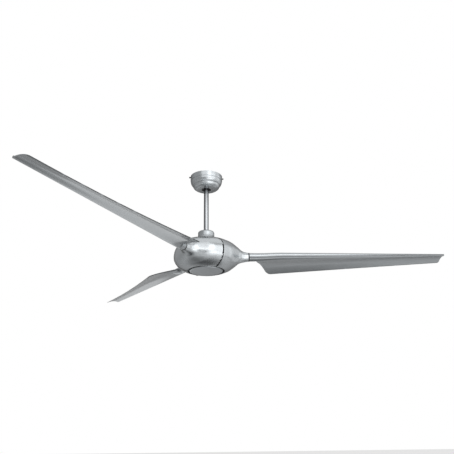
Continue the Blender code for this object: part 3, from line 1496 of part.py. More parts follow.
def make_rotor(hub):
    """Steel ring with magnets on its inside, between the two bells."""
    steel = make_material("rotor_steel", (0.30, 0.31, 0.32), 0.85, 0.45)
    inner = ROTOR_RING_RADIUS - ROTOR_RING_WALL
    outline = (
        (ROTOR_RING_RADIUS, ROTOR_HALF_HEIGHT),
        (ROTOR_RING_RADIUS, -ROTOR_HALF_HEIGHT),
        (inner, -ROTOR_HALF_HEIGHT),
        (inner, ROTOR_HALF_HEIGHT),
    )
    ring = turned("rotor_ring", outline, ROTOR_STEPS, steel, parent=hub)
    radius = (ROTOR_RING_RADIUS + inner) / 2.0
    for index, turn in enumerate(BELL_BOLT_TURNS_DEG):
        angle = math.radians(turn)
        hole = cylinder(
            "ring_bolt_hole_" + str(index),
            BELL_BOLT_RADIUS + SCREW_GAP / 2.0,
            -ROTOR_HALF_HEIGHT - OVERRUN,
            ROTOR_HALF_HEIGHT + OVERRUN,
            BOLT_SIDES,
            centre=(radius * math.cos(angle), radius * math.sin(angle)),
        )
        hole.location.z = HUB_Z
        boolean(ring, hole)
    for angle in blade_angles():
        for side in (-1.0, 1.0):
            hole = cylinder(
                "ring_arm_hole",
                ARM_SCREW_RADIUS + SCREW_GAP,
                inner - ROTOR_RING_WALL,
                ROTOR_RING_RADIUS + OVERRUN,
                SCREW_STEPS,
                axis="X",
            )
            hole.location.z = HUB_Z + side * ARM_SCREW_HEIGHT
            hole.rotation_euler.z = angle
            boolean(ring, hole)
    make_magnet(hub)


def make_magnet(hub):
    """Ring magnet inside the steel ring."""
    mat = make_material("magnet_dark", (0.12, 0.12, 0.13), 0.3, 0.5)
    inner = MAGNET_RADIUS - MAGNET_THICKNESS
    half = MAGNET_HEIGHT / 2.0
    outline = ((MAGNET_RADIUS, half), (MAGNET_RADIUS, -half), (inner, -half), (inner, half))
    turned("rotor_magnet", outline, ROTOR_STEPS, mat, parent=hub)


def bell_outline():
    """Upper bell: rim disc, bearing cup and lip over the bearing's outer ring."""
    low = ROTOR_HALF_HEIGHT + SEAT_GAP
    deck = low + BELL_THICKNESS
    roof = BEARING_MIDDLE + BEARING_WIDTH / 2.0 + SEAT_GAP
    top = roof + BELL_LIP_THICKNESS
    lip = BELL_POCKET_RADIUS - BELL_LIP
    return (
        (lip, top),
        (BELL_CUP_RADIUS, top),
        (BELL_CUP_RADIUS, deck),
        (ROTOR_RING_RADIUS, deck),
        (ROTOR_RING_RADIUS, low),
        (BELL_POCKET_RADIUS, low),
        (BELL_POCKET_RADIUS, roof),
        (lip, roof),
    )


def make_bell(hub, name, side, posts):
    """One bell with its posts; the lower one is the upper one mirrored."""
    mat = make_material("bell_alloy", (0.52, 0.53, 0.54), 0.8, 0.5)
    outline = bell_outline()
    if side < 0.0:
        outline = [(radius, -height) for radius, height in outline[::-1]]
    bell = turned(name, outline, MID_STEPS, mat)
    deck = ROTOR_HALF_HEIGHT + SEAT_GAP + BELL_THICKNESS
    for reach, angle, radius, end, depth in posts:
        place = (reach * math.cos(angle), reach * math.sin(angle))
        low, high = sorted((side * (deck - OVERRUN), end))
        boolean(bell, cylinder(name + "_post", radius, low, high, SCREW_STEPS, centre=place), "UNION")
        low, high = sorted((end + side * OVERRUN, end - side * depth))
        bore = POD_SCREW_RADIUS + SCREW_GAP
        boolean(bell, cylinder(name + "_hole", bore, low, high, SCREW_STEPS, centre=place))
    radius = ROTOR_RING_RADIUS - ROTOR_RING_WALL / 2.0
    for turn in BELL_BOLT_TURNS_DEG:
        angle = math.radians(turn)
        place = (radius * math.cos(angle), radius * math.sin(angle))
        reach = deck + OVERRUN
        low, high = sorted((0.0, side * reach))
        size = BELL_BOLT_RADIUS + SCREW_GAP / 2.0
        boolean(bell, cylinder(name + "_bolt_hole", size, low, high, BOLT_SIDES, centre=place))
    mesh = fixed_mesh(bell, name)
    add_piece(name, mesh, mat, hub)


def make_bells(hub):
    """Both bells with the posts that carry the pods, and their bolts."""
    depth = POD_SCREW_LENGTH
    end = pod_boss_foot() - SEAT_GAP
    posts = [(POD_TOP_SCREW_REACH, angle, POST_TOP_RADIUS, end, depth) for angle in blade_angles()]
    make_bell(hub, "rotor_bell_top", 1.0, posts)
    reach = POD_BOTTOM_SCREW_REACH
    end = flange_height() + SEAT_GAP
    posts = [(reach, angle, POST_BOTTOM_RADIUS, end, depth) for angle in blade_angles()]
    make_bell(hub, "rotor_bell_bottom", -1.0, posts)
    mat = make_material("pin_steel", (0.5, 0.5, 0.5), 0.9, 0.35)
    deck = ROTOR_HALF_HEIGHT + SEAT_GAP + BELL_THICKNESS
    size = BELL_BOLT_RADIUS - SCREW_GAP / 2.0
    length = deck * 2.0 + SEAT_GAP
    bolt = screw_shape("rotor_bolt", BELL_BOLT_HEAD_RADIUS, BELL_BOLT_HEAD, size, length, BOLT_SIDES)
    bolt.location = (ROTOR_RING_RADIUS - ROTOR_RING_WALL / 2.0, 0.0, deck + SEAT_GAP)
    angles = [math.radians(turn) for turn in BELL_BOLT_TURNS_DEG]
    ring_of_pieces("rotor_bolt", baked(bolt, "rotor_bolt"), angles, mat, hub)


# Bottom pieces that stand still


def make_bottom_plate(hub):
    """Pressed plate on the shaft end that carries the board and the cap."""
    mat = make_material("bracket_zinc", (0.55, 0.56, 0.57), 0.9, 0.4)
    bore = SHAFT_RADIUS + SEAT_GAP
    hub_top = -(BEARING_MIDDLE + BEARING_WIDTH / 2.0) - SEAT_GAP
    foot = PLATE_TOP_HEIGHT - PLATE_THICKNESS
    outline = (
        (PLATE_HUB_RADIUS, hub_top),
        (PLATE_HUB_RADIUS, PLATE_TOP_HEIGHT),
        (PLATE_RADIUS, PLATE_TOP_HEIGHT),
        (PLATE_RADIUS, foot),
        (bore, foot),
        (bore, hub_top),
    )
    plate = turned("bottom_plate", outline, MID_STEPS, mat)
    boolean(plate, board_posts(), "UNION")
    mesh = fixed_mesh(plate, "bottom_plate")
    add_piece("bottom_plate", mesh, mat, hub)
    steel = make_material("pin_steel", (0.5, 0.5, 0.5), 0.9, 0.35)
    high = foot - SEAT_GAP
    nut = cylinder("shaft_nut", NUT_RADIUS, high - NUT_HEIGHT, high, NUT_SIDES, steel, parent=hub)
    hole = cylinder("nut_bore", bore, high - NUT_HEIGHT - OVERRUN, high + OVERRUN, SMALL_STEPS)
    hole.location.z = HUB_Z
    boolean(nut, hole)


def make_bottom_cap(hub):
    """Round cap that snaps over the bottom plate, with a very slight crown."""
    mat = make_material("cap_silver", (0.50, 0.51, 0.53), 0.8, 0.36)
    inner = PLATE_RADIUS + SEAT_GAP
    plate_foot = PLATE_TOP_HEIGHT - PLATE_THICKNESS - SEAT_GAP
    bead_foot = PLATE_TOP_HEIGHT + SEAT_GAP
    ledge = PLATE_RADIUS - CAP_LEDGE
    edge = CAP_EDGE_HEIGHT
    rise = CAP_EDGE_HEIGHT - CAP_CROWN_HEIGHT
    outline = [
        (0.0, CAP_CROWN_HEIGHT + CAP_FLOOR),
        (ledge, edge + CAP_FLOOR),
        (ledge, plate_foot),
        (inner, plate_foot),
        (inner, bead_foot),
        (ledge, bead_foot),
        (ledge, CAP_TOP_HEIGHT),
        (CAP_RADIUS, CAP_TOP_HEIGHT),
        (CAP_RADIUS, edge + CAP_ROUND),
        (CAP_RADIUS - CAP_ROUND * CAP_ROUND_SHARE, edge + CAP_ROUND * CAP_ROUND_SHARE),
        (CAP_RADIUS - CAP_ROUND, edge),
    ]
    for share in CAP_CROWN_SHARES:
        outline.append((CAP_RADIUS * share, edge - rise * (1.0 - share ** 2)))
    outline.append((0.0, CAP_CROWN_HEIGHT))
    turned("bottom_cap", outline, MID_STEPS, mat, closed=False, parent=hub)


def make_board(hub):
    """Control board on standoffs above the bottom plate, beside the shaft."""
    green = make_material("board_green", (0.03, 0.16, 0.06), 0.0, 0.45)
    foot = PLATE_TOP_HEIGHT + BOARD_RISE
    top = foot + BOARD_THICKNESS
    board = box(
        "control_board",
        (BOARD_REACH - BOARD_WIDTH / 2.0, -BOARD_LENGTH / 2.0, foot),
        (BOARD_REACH + BOARD_WIDTH / 2.0, BOARD_LENGTH / 2.0, top),
    )
    for (along, across, length, width), height in zip(CHIP_SHARES, CHIP_HEIGHTS):
        middle_y = BOARD_LENGTH * along
        middle_x = BOARD_REACH + BOARD_WIDTH * across
        half_y = BOARD_LENGTH * length / 2.0
        half_x = BOARD_WIDTH * width / 2.0
        chip = box(
            "chip",
            (middle_x - half_x, middle_y - half_y, foot + BOARD_THICKNESS / 2.0),
            (middle_x + half_x, middle_y + half_y, top + height),
        )
        boolean(board, chip, "UNION")
    mesh = fixed_mesh(board, "control_board")
    piece = add_piece("control_board", mesh, green, hub)
    piece.rotation_euler.z = TURN / 2.0


def board_posts():
    """Pressed posts of the bottom plate under the board's corners."""
    foot = PLATE_TOP_HEIGHT + BOARD_RISE
    posts = []
    for side_x in (-1.0, 1.0):
        for side_y in (-1.0, 1.0):
            place = (
                -BOARD_REACH + side_x * (BOARD_WIDTH / 2.0 - BOARD_MARGIN),
                side_y * (BOARD_LENGTH / 2.0 - BOARD_MARGIN),
            )
            low = PLATE_TOP_HEIGHT - PLATE_THICKNESS / 2.0
            name = "board_post_" + str(len(posts))
            posts.append(cylinder(name, STANDOFF_RADIUS, low, foot - SEAT_GAP, BOLT_SIDES, centre=place))
    return joined("board_posts", posts)


def main():
    start_scene()
    ball = add_empty("ball_centre", (0.0, 0.0, -BALL_DROP))
    hub = add_empty("rotor_axis", (0.0, 0.0, HUB_Z + BALL_DROP), ball)
    bpy.context.view_layer.update()
    make_bracket()
    make_canopy()
    make_canopy_screws()
    make_terminal_block()
    make_ball_seat(ball)
    make_hanger_ball(ball)
    make_downrod(ball)
    make_coupling(hub)
    make_coupling_cover(hub)
    make_shaft(hub)
    make_bearing(hub, "upper_bearing", BEARING_MIDDLE)
    make_bearing(hub, "lower_bearing", -BEARING_MIDDLE)
    make_stator(hub)
    make_rotor(hub)
    make_bells(hub)
    make_bottom_plate(hub)
    make_board(hub)
    make_bottom_cap(hub)
    make_arms(hub)
    make_pods(hub)
    make_pod_screws(hub)
    make_neck_rings(hub)
    make_blades(hub)
    make_blade_screws(hub)
    bpy.context.view_layer.update()


main()
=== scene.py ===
import json
import math

import bmesh
import bpy
from mathutils import Matrix, Vector


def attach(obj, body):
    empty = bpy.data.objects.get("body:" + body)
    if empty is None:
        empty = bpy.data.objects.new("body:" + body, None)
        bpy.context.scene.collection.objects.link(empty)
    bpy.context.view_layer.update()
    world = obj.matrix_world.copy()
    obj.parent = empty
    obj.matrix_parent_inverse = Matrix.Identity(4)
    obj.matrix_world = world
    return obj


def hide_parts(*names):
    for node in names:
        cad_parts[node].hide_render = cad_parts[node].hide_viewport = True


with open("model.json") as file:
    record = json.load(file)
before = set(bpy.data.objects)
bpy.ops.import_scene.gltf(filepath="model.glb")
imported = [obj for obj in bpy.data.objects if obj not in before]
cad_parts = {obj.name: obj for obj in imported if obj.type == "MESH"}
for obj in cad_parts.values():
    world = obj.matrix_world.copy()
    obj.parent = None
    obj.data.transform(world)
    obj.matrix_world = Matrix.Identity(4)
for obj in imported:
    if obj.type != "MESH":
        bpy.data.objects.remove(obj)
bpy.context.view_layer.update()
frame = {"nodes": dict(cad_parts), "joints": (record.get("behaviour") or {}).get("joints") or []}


# Camera. It stands in front of the fan and about 0.7 m below the blades, and looks up past the
# housing, so that the undersides show.
hub_z = [joint["pos_m"][2] for joint in frame["joints"] if joint["name"] == "rotor_spin"][0]
stand = Vector((0.0088, -2.2923, hub_z - 0.7074))
look_up = math.radians(20.35)
look_right = math.radians(2.13)
lean = math.radians(-0.64)
camera_data = bpy.data.cameras.new("camera")
camera_data.lens = 42.87
camera_data.sensor_width = 36.0
camera_data.clip_end = 100.0
camera = bpy.data.objects.new("camera", camera_data)
bpy.context.scene.collection.objects.link(camera)
level = Vector((math.cos(look_right), -math.sin(look_right), 0.0))
forward = Vector((math.sin(look_right), math.cos(look_right), 0.0))
ahead = forward * math.cos(look_up) + Vector((0.0, 0.0, math.sin(look_up)))
upright = level.cross(ahead)
across = level * math.cos(lean) + upright * math.sin(lean)
upward = upright * math.cos(lean) - level * math.sin(lean)
view = Matrix((across, upward, -ahead)).transposed().to_4x4()
camera.matrix_world = Matrix.Translation(stand) @ view
bpy.context.scene.camera = camera


# Ceiling bracket. Pressed from zinc plated sheet, folded down to two ears and a socket strap, and
# screwed to the ceiling box through its two slots.


def start_group(name, inputs, outputs):
    """A shader group with named sockets, and its two end nodes."""
    group = bpy.data.node_groups.new(name, "ShaderNodeTree")
    for label, kind, value in inputs:
        socket = group.interface.new_socket(label, in_out="INPUT", socket_type=kind)
        socket.default_value = value
    for label, kind in outputs:
        group.interface.new_socket(label, in_out="OUTPUT", socket_type=kind)
    return group, group.nodes.new("NodeGroupInput"), group.nodes.new("NodeGroupOutput")


def add_noise(group, vector, scale, detail=4.0, roughness=0.55):
    """A noise texture on a vector socket."""
    noise = group.nodes.new("ShaderNodeTexNoise")
    noise.inputs["Detail"].default_value = detail
    noise.inputs["Roughness"].default_value = roughness
    group.links.new(vector, noise.inputs["Vector"])
    if isinstance(scale, (int, float)):
        noise.inputs["Scale"].default_value = scale
    else:
        group.links.new(scale, noise.inputs["Scale"])
    return noise.outputs["Fac"]


def add_range(group, value, low, high, start=0.3, stop=0.7):
    """A value from a band of another, clamped to low and high.

    Each bound is a number or a socket.
    """
    node = group.nodes.new("ShaderNodeMapRange")
    group.links.new(value, node.inputs["Value"])
    bounds = {"From Min": start, "From Max": stop, "To Min": low, "To Max": high}
    for label, bound in bounds.items():
        if isinstance(bound, (int, float)):
            node.inputs[label].default_value = bound
        else:
            group.links.new(bound, node.inputs[label])
    return node.outputs["Result"]


def add_sum(group, operation, first, second):
    """One sum of two values, each a number or a socket."""
    node = group.nodes.new("ShaderNodeMath")
    node.operation = operation
    for index, value in enumerate((first, second)):
        if isinstance(value, (int, float)):
            node.inputs[index].default_value = value
        else:
            group.links.new(value, node.inputs[index])
    return node.outputs[0]


def add_shade(group, colour, factor):
    """A colour made darker or lighter by a factor near 1."""
    node = group.nodes.new("ShaderNodeVectorMath")
    node.operation = "SCALE"
    group.links.new(colour, node.inputs[0])
    group.links.new(factor, node.inputs["Scale"])
    return node.outputs[0]


def add_bump(group, height, strength, distance):
    """A bump node on a height."""
    node = group.nodes.new("ShaderNodeBump")
    node.inputs["Distance"].default_value = distance
    group.links.new(height, node.inputs["Height"])
    group.links.new(strength, node.inputs["Strength"])
    return node.outputs["Normal"]


surface_inputs = (
    ("Vector", "NodeSocketVector", (0.0, 0.0, 0.0)),
    ("Colour", "NodeSocketColor", (0.5, 0.5, 0.5, 1.0)),
    ("Roughness", "NodeSocketFloat", 0.4),
    ("Scale", "NodeSocketFloat", 100.0),
    ("Change", "NodeSocketFloat", 0.1),
    ("Relief", "NodeSocketFloat", 0.1),
)
surface_outputs = (
    ("Colour", "NodeSocketColor"),
    ("Roughness", "NodeSocketFloat"),
    ("Normal", "NodeSocketVector"),
)


def close_group(group, ends, fine, broad, distance):
    """Colour and roughness changed by the two patterns, and a bump from the fine one."""
    source, sink = ends
    change = source.outputs["Change"]
    low = add_sum(group, "SUBTRACT", 1.0, change)
    high = add_sum(group, "ADD", 1.0, change)
    tone = add_range(group, fine, low, high)
    cast = add_range(group, broad, low, high)
    colour = add_shade(group, add_shade(group, source.outputs["Colour"], tone), cast)
    group.links.new(colour, sink.inputs["Colour"])
    wear = add_range(group, broad, 0.9, 1.12)
    rough = add_sum(group, "MULTIPLY", source.outputs["Roughness"], wear)
    group.links.new(rough, sink.inputs["Roughness"])
    bump = add_bump(group, fine, source.outputs["Relief"], distance)
    group.links.new(bump, sink.inputs["Normal"])
    return group


# Rolled or drawn metal: fine streaks along one way, over broad cloudy patches.
group, source, sink = start_group("drawn_streaks", surface_inputs, surface_outputs)
stretch = group.nodes.new("ShaderNodeMapping")
stretch.inputs["Scale"].default_value = (0.06, 1.0, 1.0)
group.links.new(source.outputs["Vector"], stretch.inputs["Vector"])
streaks = add_noise(group, stretch.outputs["Vector"], source.outputs["Scale"], 6.0, 0.6)
clouds = add_noise(group, source.outputs["Vector"], 14.0, 3.0, 0.5)
drawn_streaks = close_group(group, (source, sink), streaks, clouds, 0.0002)


def new_material(
    name,
    group,
    colour,
    values,
    metallic=0.0,
    place="Object",
    turn=(0.0, 0.0, 0.0),
    rim_shade=None,
    edge=None,
):
    """A Principled material fed by one surface group. values: roughness, scale, change, relief.

    place is Object or the name of an attribute, and turn turns the pattern on it.
    The rim shade darkens the colour where the surface is seen at a slant, partly as flat flake
    does and partly as painted shade at the rims: the share, and the slants where it starts and is
    full.
    edge names an attribute that darkens the colour along an edge as a painted shade, and the
    share.
    """
    mat = bpy.data.materials.new(name)
    mat.use_nodes = True
    tree = mat.node_tree
    shader = tree.nodes["Principled BSDF"]
    shader.inputs["Metallic"].default_value = metallic
    pattern = tree.nodes.new("ShaderNodeGroup")
    pattern.node_tree = group
    pattern.inputs["Colour"].default_value = (*colour, 1.0)
    for label, value in zip(("Roughness", "Scale", "Change", "Relief"), values):
        pattern.inputs[label].default_value = value
    if place == "Object":
        vector = tree.nodes.new("ShaderNodeTexCoord").outputs["Object"]
    else:
        reader = tree.nodes.new("ShaderNodeAttribute")
        reader.attribute_name = place
        vector = reader.outputs["Vector"]
    mapping = tree.nodes.new("ShaderNodeMapping")
    mapping.inputs["Rotation"].default_value = turn
    tree.links.new(vector, mapping.inputs["Vector"])
    tree.links.new(mapping.outputs["Vector"], pattern.inputs["Vector"])
    shade = pattern.outputs["Colour"]
    # Painted shade at the rims: the colour darkens where the surface is seen at a slant.
    if rim_shade:
        share, begin, full = rim_shade
        slant = tree.nodes.new("ShaderNodeLayerWeight")
        slant.inputs["Blend"].default_value = 0.5
        left = add_range(tree, slant.outputs["Facing"], 1.0, 1.0 - share, start=begin, stop=full)
        shade = add_shade(tree, shade, left)
    # Painted shade along an edge: the colour darkens where the attribute is 1.
    if edge:
        attribute, share = edge
        reader = tree.nodes.new("ShaderNodeAttribute")
        reader.attribute_name = attribute
        left = add_range(tree, reader.outputs["Fac"], 1.0, 1.0 - share, start=0.0, stop=1.0)
        shade = add_shade(tree, shade, left)
    tree.links.new(shade, shader.inputs["Base Color"])
    tree.links.new(pattern.outputs["Roughness"], shader.inputs["Roughness"])
    tree.links.new(pattern.outputs["Normal"], shader.inputs["Normal"])
    mat.diffuse_color = (*colour, 1.0)
    return mat


def dress(mat, *names):
    """Gives CAD nodes their material."""
    for name in names:
        node = frame["nodes"][name]
        node.data.materials.clear()
        node.data.materials.append(mat)


zinc_sheet = new_material(
    "zinc_sheet", drawn_streaks, (0.56, 0.57, 0.58), (0.38, 900.0, 0.07, 0.15), 0.95
)
dress(zinc_sheet, "ceiling_bracket")


# Terminal block. Moulded in off-white plastic, screwed to the bracket, with three ways for the
# supply wires.
group, source, sink = start_group("moulded_grain", surface_inputs, surface_outputs)
grain = add_noise(group, source.outputs["Vector"], source.outputs["Scale"], 3.0, 0.6)
tint = add_noise(group, source.outputs["Vector"], 20.0, 2.0, 0.5)
moulded_grain = close_group(group, (source, sink), grain, tint, 0.0002)
terminal_plastic = new_material(
    "terminal_plastic", moulded_grain, (0.74, 0.72, 0.67), (0.5, 1800.0, 0.03, 0.2)
)
dress(terminal_plastic, "terminal_block")


# Ball joint. A nylon seat in the bracket's socket carries the ball, and a steel pin through ball
# and rod takes the fan's weight.
seat_nylon = new_material(
    "seat_nylon", moulded_grain, (0.04, 0.04, 0.042), (0.6, 1500.0, 0.05, 0.1)
)
ball_plastic = new_material(
    "ball_plastic", moulded_grain, (0.02, 0.02, 0.022), (0.5, 1500.0, 0.05, 0.06)
)
pin_steel = new_material(
    "pin_steel", drawn_streaks, (0.55, 0.55, 0.56), (0.25, 1200.0, 0.05, 0.08), 1.0
)
dress(seat_nylon, "ball_seat")
dress(ball_plastic, "hanger_ball")
dress(pin_steel, "ball_pin")


# Downrod. A plain steel tube, silver painted, that runs from the ball down to the coupling and
# carries the wires.
whole_turn = 2.0 * math.pi
rod_radius = 0.0110
rod_wall = 0.0018
rod_top = -0.0150
rod_foot = hub_z + 0.0800
rod_facets = 64
rod_edge = 0.0004


def spun(outline, steps, turn=whole_turn):
    """A closed outline of (radius, height) points turned about Z."""
    bm = bmesh.new()
    verts = [bm.verts.new((radius, 0.0, height)) for radius, height in outline]
    edges = [bm.edges.new(pair) for pair in zip(verts, verts[1:] + verts[:1])]
    bmesh.ops.spin(
        bm,
        geom=verts + edges,
        cent=(0.0, 0.0, 0.0),
        axis=(0.0, 0.0, 1.0),
        dvec=(0.0, 0.0, 0.0),
        angle=turn,
        steps=steps,
        use_merge=turn == whole_turn,
    )
    bmesh.ops.remove_doubles(bm, verts=bm.verts, dist=0.000002)
    bmesh.ops.recalc_face_normals(bm, faces=bm.faces)
    return bm


def eased(bm, width, segments=2, limit=45.0):
    """The edges sharper than a limit in degrees, rounded."""
    sharp = [e for e in bm.edges if e.is_manifold and e.calc_face_angle(0.0) > math.radians(limit)]
    bmesh.ops.bevel(
        bm,
        geom=sharp,
        offset=width,
        affect="EDGES",
        segments=segments,
        profile=0.5,
        material=-1,
        clamp_overlap=True,
    )
    return bm


def piece(name, bm, mats, limit=38.0):
    """A finished object from a bmesh, smooth but for edges sharper than a limit in degrees."""
    for face in bm.faces:
        face.smooth = True
    for edge in bm.edges:
        if edge.is_manifold and edge.calc_face_angle(0.0) > math.radians(limit):
            edge.smooth = False
    mesh = bpy.data.meshes.new(name)
    bm.to_mesh(mesh)
    bm.free()
    for mat in mats:
        mesh.materials.append(mat)
    obj = bpy.data.objects.new(name, mesh)
    bpy.context.scene.collection.objects.link(obj)
    return obj


# Satin silver paint: fine metal flake, a soft cloudiness and a faint orange peel. The materials
# made from it darken where they are seen at a slant, partly as flat-lying flake does and partly as
# a painted shade for the dark rims that the silver reflects.
group, source, sink = start_group("silver_flake", surface_inputs, surface_outputs)
flake = add_noise(group, source.outputs["Vector"], source.outputs["Scale"], 2.0, 0.7)
haze = add_noise(group, source.outputs["Vector"], 9.0, 3.0, 0.5)
silver_flake = close_group(group, (source, sink), flake, haze, 0.0001)
rod_silver = new_material(
    "rod_silver", silver_flake, (0.51, 0.53, 0.55), (0.26, 1300.0, 0.03, 0.015), 0.9,
    rim_shade=(0.85, 0.08, 0.45),
)
outline = [
    (rod_radius, rod_top),
    (rod_radius, rod_foot),
    (rod_radius - rod_wall, rod_foot),
    (rod_radius - rod_wall, rod_top),
]
downrod = piece("downrod_tube", eased(spun(outline, rod_facets), rod_edge), [rod_silver])
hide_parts("downrod")
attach(downrod, "hanging")


# Canopy. Spun from thin steel sheet in three tiers with a crease under each, and open at the
# bottom for the rod. It is silver painted outside, and near black inside as a painted shade for
# the inside of the cup.
canopy_radius = 0.0735
canopy_wall = 0.0010
canopy_facets = 96
tier_lean = 62.0
tier_points = 9
# Its colour darkens at a slant, partly as flake paint does and partly as painted shade at the
# rims.
canopy_silver = new_material(
    "canopy_silver", silver_flake, (0.56, 0.59, 0.61), (0.26, 1300.0, 0.03, 0.06), 0.9,
    rim_shade=(0.75, 0.40, 0.78),
)


def mixed(low, high, share):
    """A straight mix of two values."""
    return low + (high - low) * share


def tier(start, end):
    """Points of a convex tier, upright at its top."""
    reach = math.radians(tier_lean)
    points = []
    for index in range(tier_points):
        angle = reach * index / (tier_points - 1)
        fall = math.sin(angle) / math.sin(reach)
        draw = (1.0 - math.cos(angle)) / (1.0 - math.cos(reach))
        points.append((mixed(start[0], end[0], draw), mixed(start[1], end[1], fall)))
    return points


def inward(points, distance):
    """A line of points moved sideways by a distance, to its left as it runs."""
    moved = []
    for index, point in enumerate(points):
        before = Vector(points[max(index - 1, 0)])
        after = Vector(points[min(index + 1, len(points) - 1)])
        run = (after - before).normalized()
        moved.append((point[0] + run.y * distance, point[1] - run.x * distance))
    return moved


outline = [(canopy_radius, -0.0004), (canopy_radius, -0.0120), (canopy_radius, -0.0218)]
outline += [(canopy_radius - 0.0003, -0.0225), (canopy_radius - 0.0012, -0.0227)]
outline += tier((canopy_radius - 0.0009, -0.0234), (0.0625, -0.0455))
outline += [(0.0614, -0.0458)]
outline += tier((0.0617, -0.0463), (0.0480, -0.0625))
outline += [(0.0472, -0.0632), (0.0340, -0.0649), (0.0217, -0.0649)]
# Near black for the inside of the cup, a painted shade.
inner_shade = new_material(
    "canopy_inner_shade", moulded_grain, (0.03, 0.03, 0.03), (0.7, 900.0, 0.1, 0.1)
)
bm = spun(outline + inward(outline, canopy_wall)[::-1], canopy_facets)
# Faces that look inward take the near black, a painted shade inside the cup.
for face in bm.faces:
    middle = face.calc_center_median()
    outward = Vector((middle.x, middle.y, -0.02))
    if face.normal.dot(outward) < 0.0:
        face.material_index = 1
canopy = piece("canopy_cup", bm, [canopy_silver, inner_shade], limit=30.0)
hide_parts("canopy")
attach(canopy, "mount")


# Canopy screws. Two small black thumb screws, with knurled heads, that hold the canopy to the
# bracket's ears.
screw_black = new_material(
    "screw_black", moulded_grain, (0.010, 0.010, 0.011), (0.6, 1500.0, 0.1, 0.1), 0.3
)
screw_turns = (5.3, 185.3)
screw_height = -0.0058
head_facets = 28
knurl_radius = 0.0036
knurl_share = 0.93
for index, turn_deg in enumerate(screw_turns):
    outline = [(0.0, 0.0640), (0.0019, 0.0640), (0.0019, 0.0738), (0.0027, 0.0738)]
    outline += [(0.0027, 0.0762), (0.0038, 0.0768), (0.0038, 0.0792), (0.0032, 0.0797)]
    outline += [(0.0, 0.0797)]
    bm = spun(outline, head_facets)
    for vert in bm.verts:
        facet = round(math.atan2(vert.co.y, vert.co.x) / whole_turn * head_facets)
        if vert.co.xy.length > knurl_radius and facet % 2:
            vert.co.xy *= knurl_share
    bmesh.ops.rotate(bm, verts=bm.verts, matrix=Matrix.Rotation(whole_turn / 4.0, 3, "Y"))
    bmesh.ops.translate(bm, verts=bm.verts, vec=(0.0, 0.0, screw_height))
    bmesh.ops.rotate(bm, verts=bm.verts, matrix=Matrix.Rotation(math.radians(turn_deg), 3, "Z"))
    screw = piece(f"canopy_thumb_screw_{index + 1}", bm, [screw_black], limit=30.0)
    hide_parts(f"canopy_screw_{index + 1}")
    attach(screw, "mount")


# Rod coupling. A turned steel block clamped on the motor shaft by two set screws, with a clevis
# pin and cotter through the rod.
coupling_steel = new_material(
    "coupling_steel", drawn_streaks, (0.46, 0.46, 0.47), (0.33, 1100.0, 0.06, 0.1), 1.0
)
dark_screw = new_material(
    "dark_screw", drawn_streaks, (0.09, 0.09, 0.09), (0.42, 1100.0, 0.1, 0.1), 0.8
)
dress(coupling_steel, "rod_coupling")
dress(pin_steel, "clevis_pin", "cotter_pin")
dress(dark_screw, "coupling_set_screw_1", "coupling_set_screw_2")


# Coupling cover. A short spun cup that slides down the rod over the coupling, with a rounded
# shoulder and a foot that flares out to the housing.
cover_radius = 0.0365
cover_top = 0.1195
cover_wall = 0.0011
cover_facets = 80
shoulder = 0.0080
shoulder_steps = 8
rod_clearance = 0.0010
# Its colour darkens at a slant, partly as flake paint does and partly as painted shade at the
# rims.
cover_silver = new_material(
    "cover_silver", silver_flake, (0.53, 0.56, 0.58), (0.34, 1300.0, 0.03, 0.06), 0.9,
    rim_shade=(0.6, 0.40, 0.80),
)
outline = [(rod_radius + rod_clearance, cover_top)]
for index in range(shoulder_steps + 1):
    angle = math.radians(90.0 - 90.0 * index / shoulder_steps)
    side = cover_radius - shoulder + shoulder * math.cos(angle)
    outline.append((side, cover_top - shoulder + shoulder * math.sin(angle)))
outline += [(cover_radius, 0.1040), (0.0366, 0.0960), (0.0375, 0.0925), (0.0388, 0.0895)]
outline += [(0.0400, 0.0860), (0.0410, 0.0822)]
outline = [(radius, hub_z + height) for radius, height in outline]
bm = spun(outline + inward(outline, cover_wall)[::-1], cover_facets)
cover = piece("coupling_cup", bm, [cover_silver], limit=30.0)
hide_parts("coupling_cover")
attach(cover, "hanging")


# Motor. A fixed hollow shaft carries the laminated stator with its copper windings. Round them a
# steel ring with a ring magnet turns on two ball bearings between two die-cast bells.
group, source, sink = start_group("cast_skin", surface_inputs, surface_outputs)
pits = add_noise(group, source.outputs["Vector"], source.outputs["Scale"], 8.0, 0.65)
flow = add_noise(group, source.outputs["Vector"], 25.0, 4.0, 0.6)
cast_skin = close_group(group, (source, sink), pits, flow, 0.0004)
shaft_steel = new_material(
    "shaft_steel", drawn_streaks, (0.52, 0.52, 0.53), (0.25, 1300.0, 0.04, 0.08), 1.0
)
bearing_steel = new_material(
    "bearing_steel", drawn_streaks, (0.62, 0.62, 0.62), (0.16, 1500.0, 0.03, 0.04), 1.0
)
stator_iron = new_material(
    "stator_iron", drawn_streaks, (0.25, 0.26, 0.27), (0.5, 3000.0, 0.16, 0.4), 0.7,
    turn=(0.0, whole_turn / 4.0, 0.0),
)
winding_copper = new_material(
    "winding_copper", drawn_streaks, (0.50, 0.19, 0.07), (0.3, 2600.0, 0.2, 0.5), 0.9,
    turn=(0.0, whole_turn / 4.0, 0.0),
)
rotor_steel = new_material(
    "rotor_steel", drawn_streaks, (0.30, 0.31, 0.32), (0.4, 900.0, 0.08, 0.15), 1.0
)
magnet_dark = new_material(
    "magnet_dark", cast_skin, (0.10, 0.10, 0.11), (0.6, 700.0, 0.1, 0.2)
)
bell_alloy = new_material(
    "bell_alloy", cast_skin, (0.52, 0.53, 0.54), (0.48, 600.0, 0.07, 0.25), 0.95
)
dress(shaft_steel, "motor_shaft")
dress(bearing_steel, "upper_bearing_inner_ring", "upper_bearing_outer_ring", "upper_bearing_balls")
